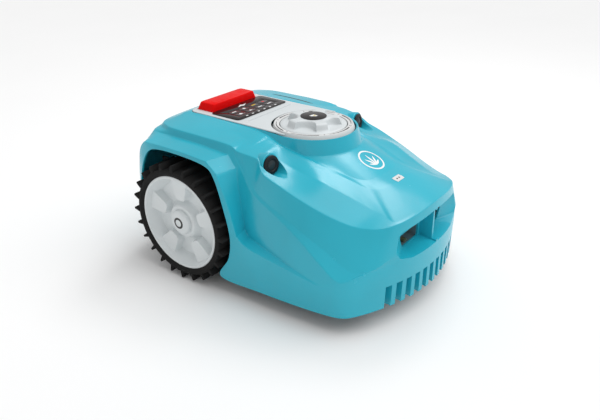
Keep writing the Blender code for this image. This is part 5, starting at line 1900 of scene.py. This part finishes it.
# ------------------------------------------------------------------------- underside
@dataclass
class Underside:
    """Chassis, battery cover, screws and the cutting system."""

    body: str = "machine"
    blades: int = 3

    def chassis_ribs(self) -> None:
        """Stiffening ribs and screws under the chassis floor."""
        low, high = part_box("battery_cover")
        grip = slab("rib", rounded_box(-0.0012, 0.0012, -0.0220, 0.0220, 0.001, 3), -0.0008, 0.0003)
        count = 13
        pitch = 0.0105
        middle = (low + high) / 2
        ribs = Repeater("battery_cover_ribs", count, (-pitch * (count - 1) / 2, middle.y, low.z),
                        (pitch, 0.0, 0.0))
        finished(ribs.build(softened(grip, 0.0003, 1), DARK), DARK, self.body)
        for index, x in enumerate((low.x + 0.0055, high.x - 0.0055)):
            pair = Repeater(f"battery_cover_screws_{index + 1}", 2, (x, low.y + 0.012, low.z),
                            (0.0, 0.037, 0.0),
                            (0.0, 0.0, 0.7))
            finished(pair.build(screw_head(), STEEL), STEEL, self.body)
        floor = min(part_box("chassis")[0].z + 0.036, 0.0800)
        row = Repeater("floor_screws", 4, (-0.084, -0.190, floor), (0.056, 0.0, 0.0), (0.0, 0.0, 0.5))
        finished(row.build(screw_head(), STEEL), STEEL, self.body)

    def disc(self) -> None:
        """Blade disc with a raised hub, a rolled rim and round lightening holes."""
        low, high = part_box("blade_disc")
        centre = Vector(((low.x + high.x) / 2, (low.y + high.y) / 2, 0.0))
        radius = (high.x - low.x) / 2
        base = low.z
        profile = rounded([(0.0043, base, 0), (0.0180, base, 0.001), (0.0220, base + 0.0009, 0.002),
                           (0.0460, base + 0.0009, 0.002), (0.0490, base, 0.001), (radius, base, 0.0008),
                           (radius, base + 0.0025, 0.0008), (0.0230, base + 0.0025, 0.001),
                           (0.0150, base + 0.0045, 0.003),
                           (0.0120, high.z, 0.001), (0.0043, high.z, 0.0004)], 3)
        disc = revolved("cutter_disc", profile, Matrix.Translation(centre), 120)
        holes = []
        for index in range(self.blades):
            pin_low, pin_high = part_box(f"blade_screw_{index + 1}")
            spot = (pin_low + pin_high) / 2
            holes.append(rod("hole", Vector((spot.x, spot.y, 0.015)), Vector((0, 0, 1)), 0.02, 0.0025))
            away = math.radians(30 + 120 * index)
            for shift in (-0.35, 0.0, 0.35):
                out = Vector((math.cos(away + shift), math.sin(away + shift), 0)) * 0.036
                holes.append(rod("hole", centre + out + Vector((0, 0, 0.015)), Vector((0, 0, 1)), 0.02,
                                 0.0045))
        combine(disc, united("holes", holes))
        finished(disc, DARK, "cutter", ["blade_disc"], 30.0)

    def blade(self, index: int) -> None:
        """Pivoting blade with bevelled cutting edges, and its shouldered screw.

        Args:
            index: the blade's index, from 0.
        """
        node = f"blade_{index + 1}"
        low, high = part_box(node)
        pin = f"blade_screw_{index + 1}"
        pin_low, pin_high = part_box(pin)
        spot = (pin_low + pin_high) / 2
        outline = rounded([(-0.0080, -0.0060, 0.002), (0.0240, -0.0080, 0.001), (0.0300, -0.0045, 0.002),
                           (0.0300, 0.0045, 0.002), (0.0240, 0.0080, 0.001), (-0.0080, 0.0060, 0.002)], 3)
        inset = [(a * 0.985, b * 0.88) for a, b in outline]
        blade = loft(f"{node}_steel", [(inset, low.z), (outline, low.z + 0.0006), (inset, high.z)])
        combine(blade, rod("hole", Vector((0, 0, low.z - 0.01)), Vector((0, 0, 1)), 0.03, 0.0027))
        turn = Matrix.Rotation(math.radians(90 + 120 * index), 4, "Z")
        blade.data.transform(Matrix.Translation((spot.x, spot.y, 0)) @ turn)
        finished(blade, STEEL, f"blade_body_{index + 1}", [node], 30.0)
        seat = low.z - 0.0003
        profile = rounded([(0.0, pin_low.z, 0), (0.0032, pin_low.z, 0.0006),
                           (0.0046, pin_low.z + 0.0009, 0.0004),
                           (0.0046, seat, 0.0002), (0.0022, seat, 0.0), (0.0022, pin_high.z, 0.0003),
                           (0.0, pin_high.z, 0)], 3)
        screw = revolved(f"{pin}_shoulder", profile, Matrix.Translation((spot.x, spot.y, 0)), 48)
        slot = block("slot", (spot.x - 0.0032, spot.y - 0.0004, pin_low.z - 0.001),
                     (spot.x + 0.0032, spot.y + 0.0004, pin_low.z + 0.0007))
        combine(screw, slot)
        finished(screw, STEEL, "cutter", [pin], 30.0)

    def build(self) -> None:
        """Build the underside's pieces and paint the CAD nodes that stay."""
        self.chassis_ribs()
        self.disc()
        for index in range(self.blades):
            self.blade(index)
        kept = {"chassis": DARK, "battery_cover": DARK, "battery_pack": WRAP, "board_frame": DARK,
                "main_board": BOARD, "cover_mount_1": POST_RUBBER, "cover_mount_2": POST_RUBBER,
                "motor_carriage": DARK, "cutting_motor": MOTOR_CAN, "motor_shaft": STEEL,
                "lift_screw": STEEL}
        for side in Side:
            kept[side.node("guide_rod")] = STEEL
            kept[side.node("wire_sensor")] = COIL
            kept[side.node("gear_motor")] = DARK
        for node, finish in kept.items():
            painted(node, finish)


def screw_head() -> bpy.types.Object:
    """Pan head with a cross recess, pointing down, its face plane at height 0.

    Returns:
        The head.
    """
    profile = rounded([(0.0, -0.0016, 0), (0.0024, -0.0016, 0.0010), (0.0036, 0.0002, 0.0002),
                       (0.0, 0.0002, 0)], 3)
    head = revolved("screw", profile, Matrix.Identity(4), 24)
    for length, width in ((0.0017, 0.00045), (0.00045, 0.0017)):
        combine(head, block("slot", (-length, -width, -0.003), (length, width, -0.0009)))
    return head


# ------------------------------------------------------------------------- stage
@dataclass
class Stage:
    """Pale floor, soft lights and the camera."""

    camera_at: tuple[float, float, float] = (-0.8093, -0.6087, 0.5903)
    azimuth: float = -54.32
    elevation: float = 27.63
    lens: float = 38.4
    shift: tuple[float, float] = (-0.0281, 0.0209)
    world: float = 0.58
    sun_power: float = 1.45
    sun_spread: float = 60.0
    sun_from: tuple[float, float, float] = (0.28, -0.50, 1.0)
    box_at: tuple[float, float, float] = (0.85, 0.10, 1.45)
    box_target: tuple[float, float, float] = (0.0, 0.0, 0.15)
    box_size: float = 0.50
    box_power: float = 5.0

    def floor(self) -> None:
        """Wide pale floor with a faint tone."""
        half = 9.0
        plate = slab("floor", [(-half, -half), (half, -half), (half, half), (-half, half)], -0.02, -0.0001)
        shader = Shader("floor_paint")
        tone = shader.noise(3.0, 2.0)
        shader.wear(Base_Color=shader.blend(tone, (0.93, 0.93, 0.93), (0.95, 0.95, 0.95)), Roughness=0.9)
        plate.data.materials.append(shader.material)

    def light(self, name: str, place: Sequence[float], target: Sequence[float], size: float, power: float,
              tint: Colour = (1.0, 1.0, 1.0)) -> None:
        """Square area light that looks at a point.

        Args:
            name: the lamp's name.
            place: where it stands.
            target: the point it looks at.
            size: the length of its sides.
            power: its power in watts.
            tint: its colour.
        """
        data = bpy.data.lights.new(name, "AREA")
        data.size = size
        data.energy = power
        data.color = tint
        lamp = bpy.data.objects.new(name, data)
        lamp.location = place
        lamp.rotation_euler = (Vector(target) - Vector(place)).to_track_quat("-Z", "Y").to_euler()
        bpy.context.scene.collection.objects.link(lamp)

    def camera(self) -> None:
        """Camera at the wanted angle, with a small shift for the framing."""
        az, el = math.radians(self.azimuth), math.radians(self.elevation)
        back = Vector((math.sin(az) * math.cos(el), -math.cos(az) * math.cos(el), math.sin(el)))
        data = bpy.data.cameras.new("camera")
        data.lens = self.lens
        data.sensor_width = 36.0
        data.shift_x, data.shift_y = self.shift
        data.clip_start, data.clip_end = 0.01, 50.0
        camera = bpy.data.objects.new("camera", data)
        camera.location = self.camera_at
        camera.rotation_euler = (-back).to_track_quat("-Z", "Y").to_euler()
        bpy.context.scene.collection.objects.link(camera)
        bpy.context.scene.camera = camera

    def build(self) -> None:
        """Set up floor, world, lights and camera."""
        self.floor()
        scene = bpy.context.scene
        scene.world = bpy.data.worlds.new("sky")
        scene.world.use_nodes = True
        sky = scene.world.node_tree.nodes["Background"]
        sky.inputs["Color"].default_value = (1.0, 1.0, 1.0, 1.0)
        sky.inputs["Strength"].default_value = self.world
        scene.view_settings.view_transform = "Standard"
        sun = bpy.data.lights.new("sun", "SUN")
        sun.energy, sun.angle = self.sun_power, math.radians(self.sun_spread)
        sky_lamp = bpy.data.objects.new("sun", sun)
        sky_lamp.rotation_euler = Vector(self.sun_from).to_track_quat("Z", "Y").to_euler()
        bpy.context.scene.collection.objects.link(sky_lamp)
        self.light("softbox", self.box_at, self.box_target, self.box_size, self.box_power)
        self.camera()


def main() -> None:
    logging.basicConfig(level=logging.INFO, format="%(name)s %(message)s")
    cover = TopCover()
    builders: list[Callable[[], object]] = [cover.build, TopDeck().build, HeightDial().build,
                                            FrontDetails(cover).build, Underside().build]
    for side in Side:
        builders += [DriveWheel(side).build, Caster(side).build]
    builders.append(Stage().build)
    for build in builders:
        build()


if __name__ == "__main__":
    main()
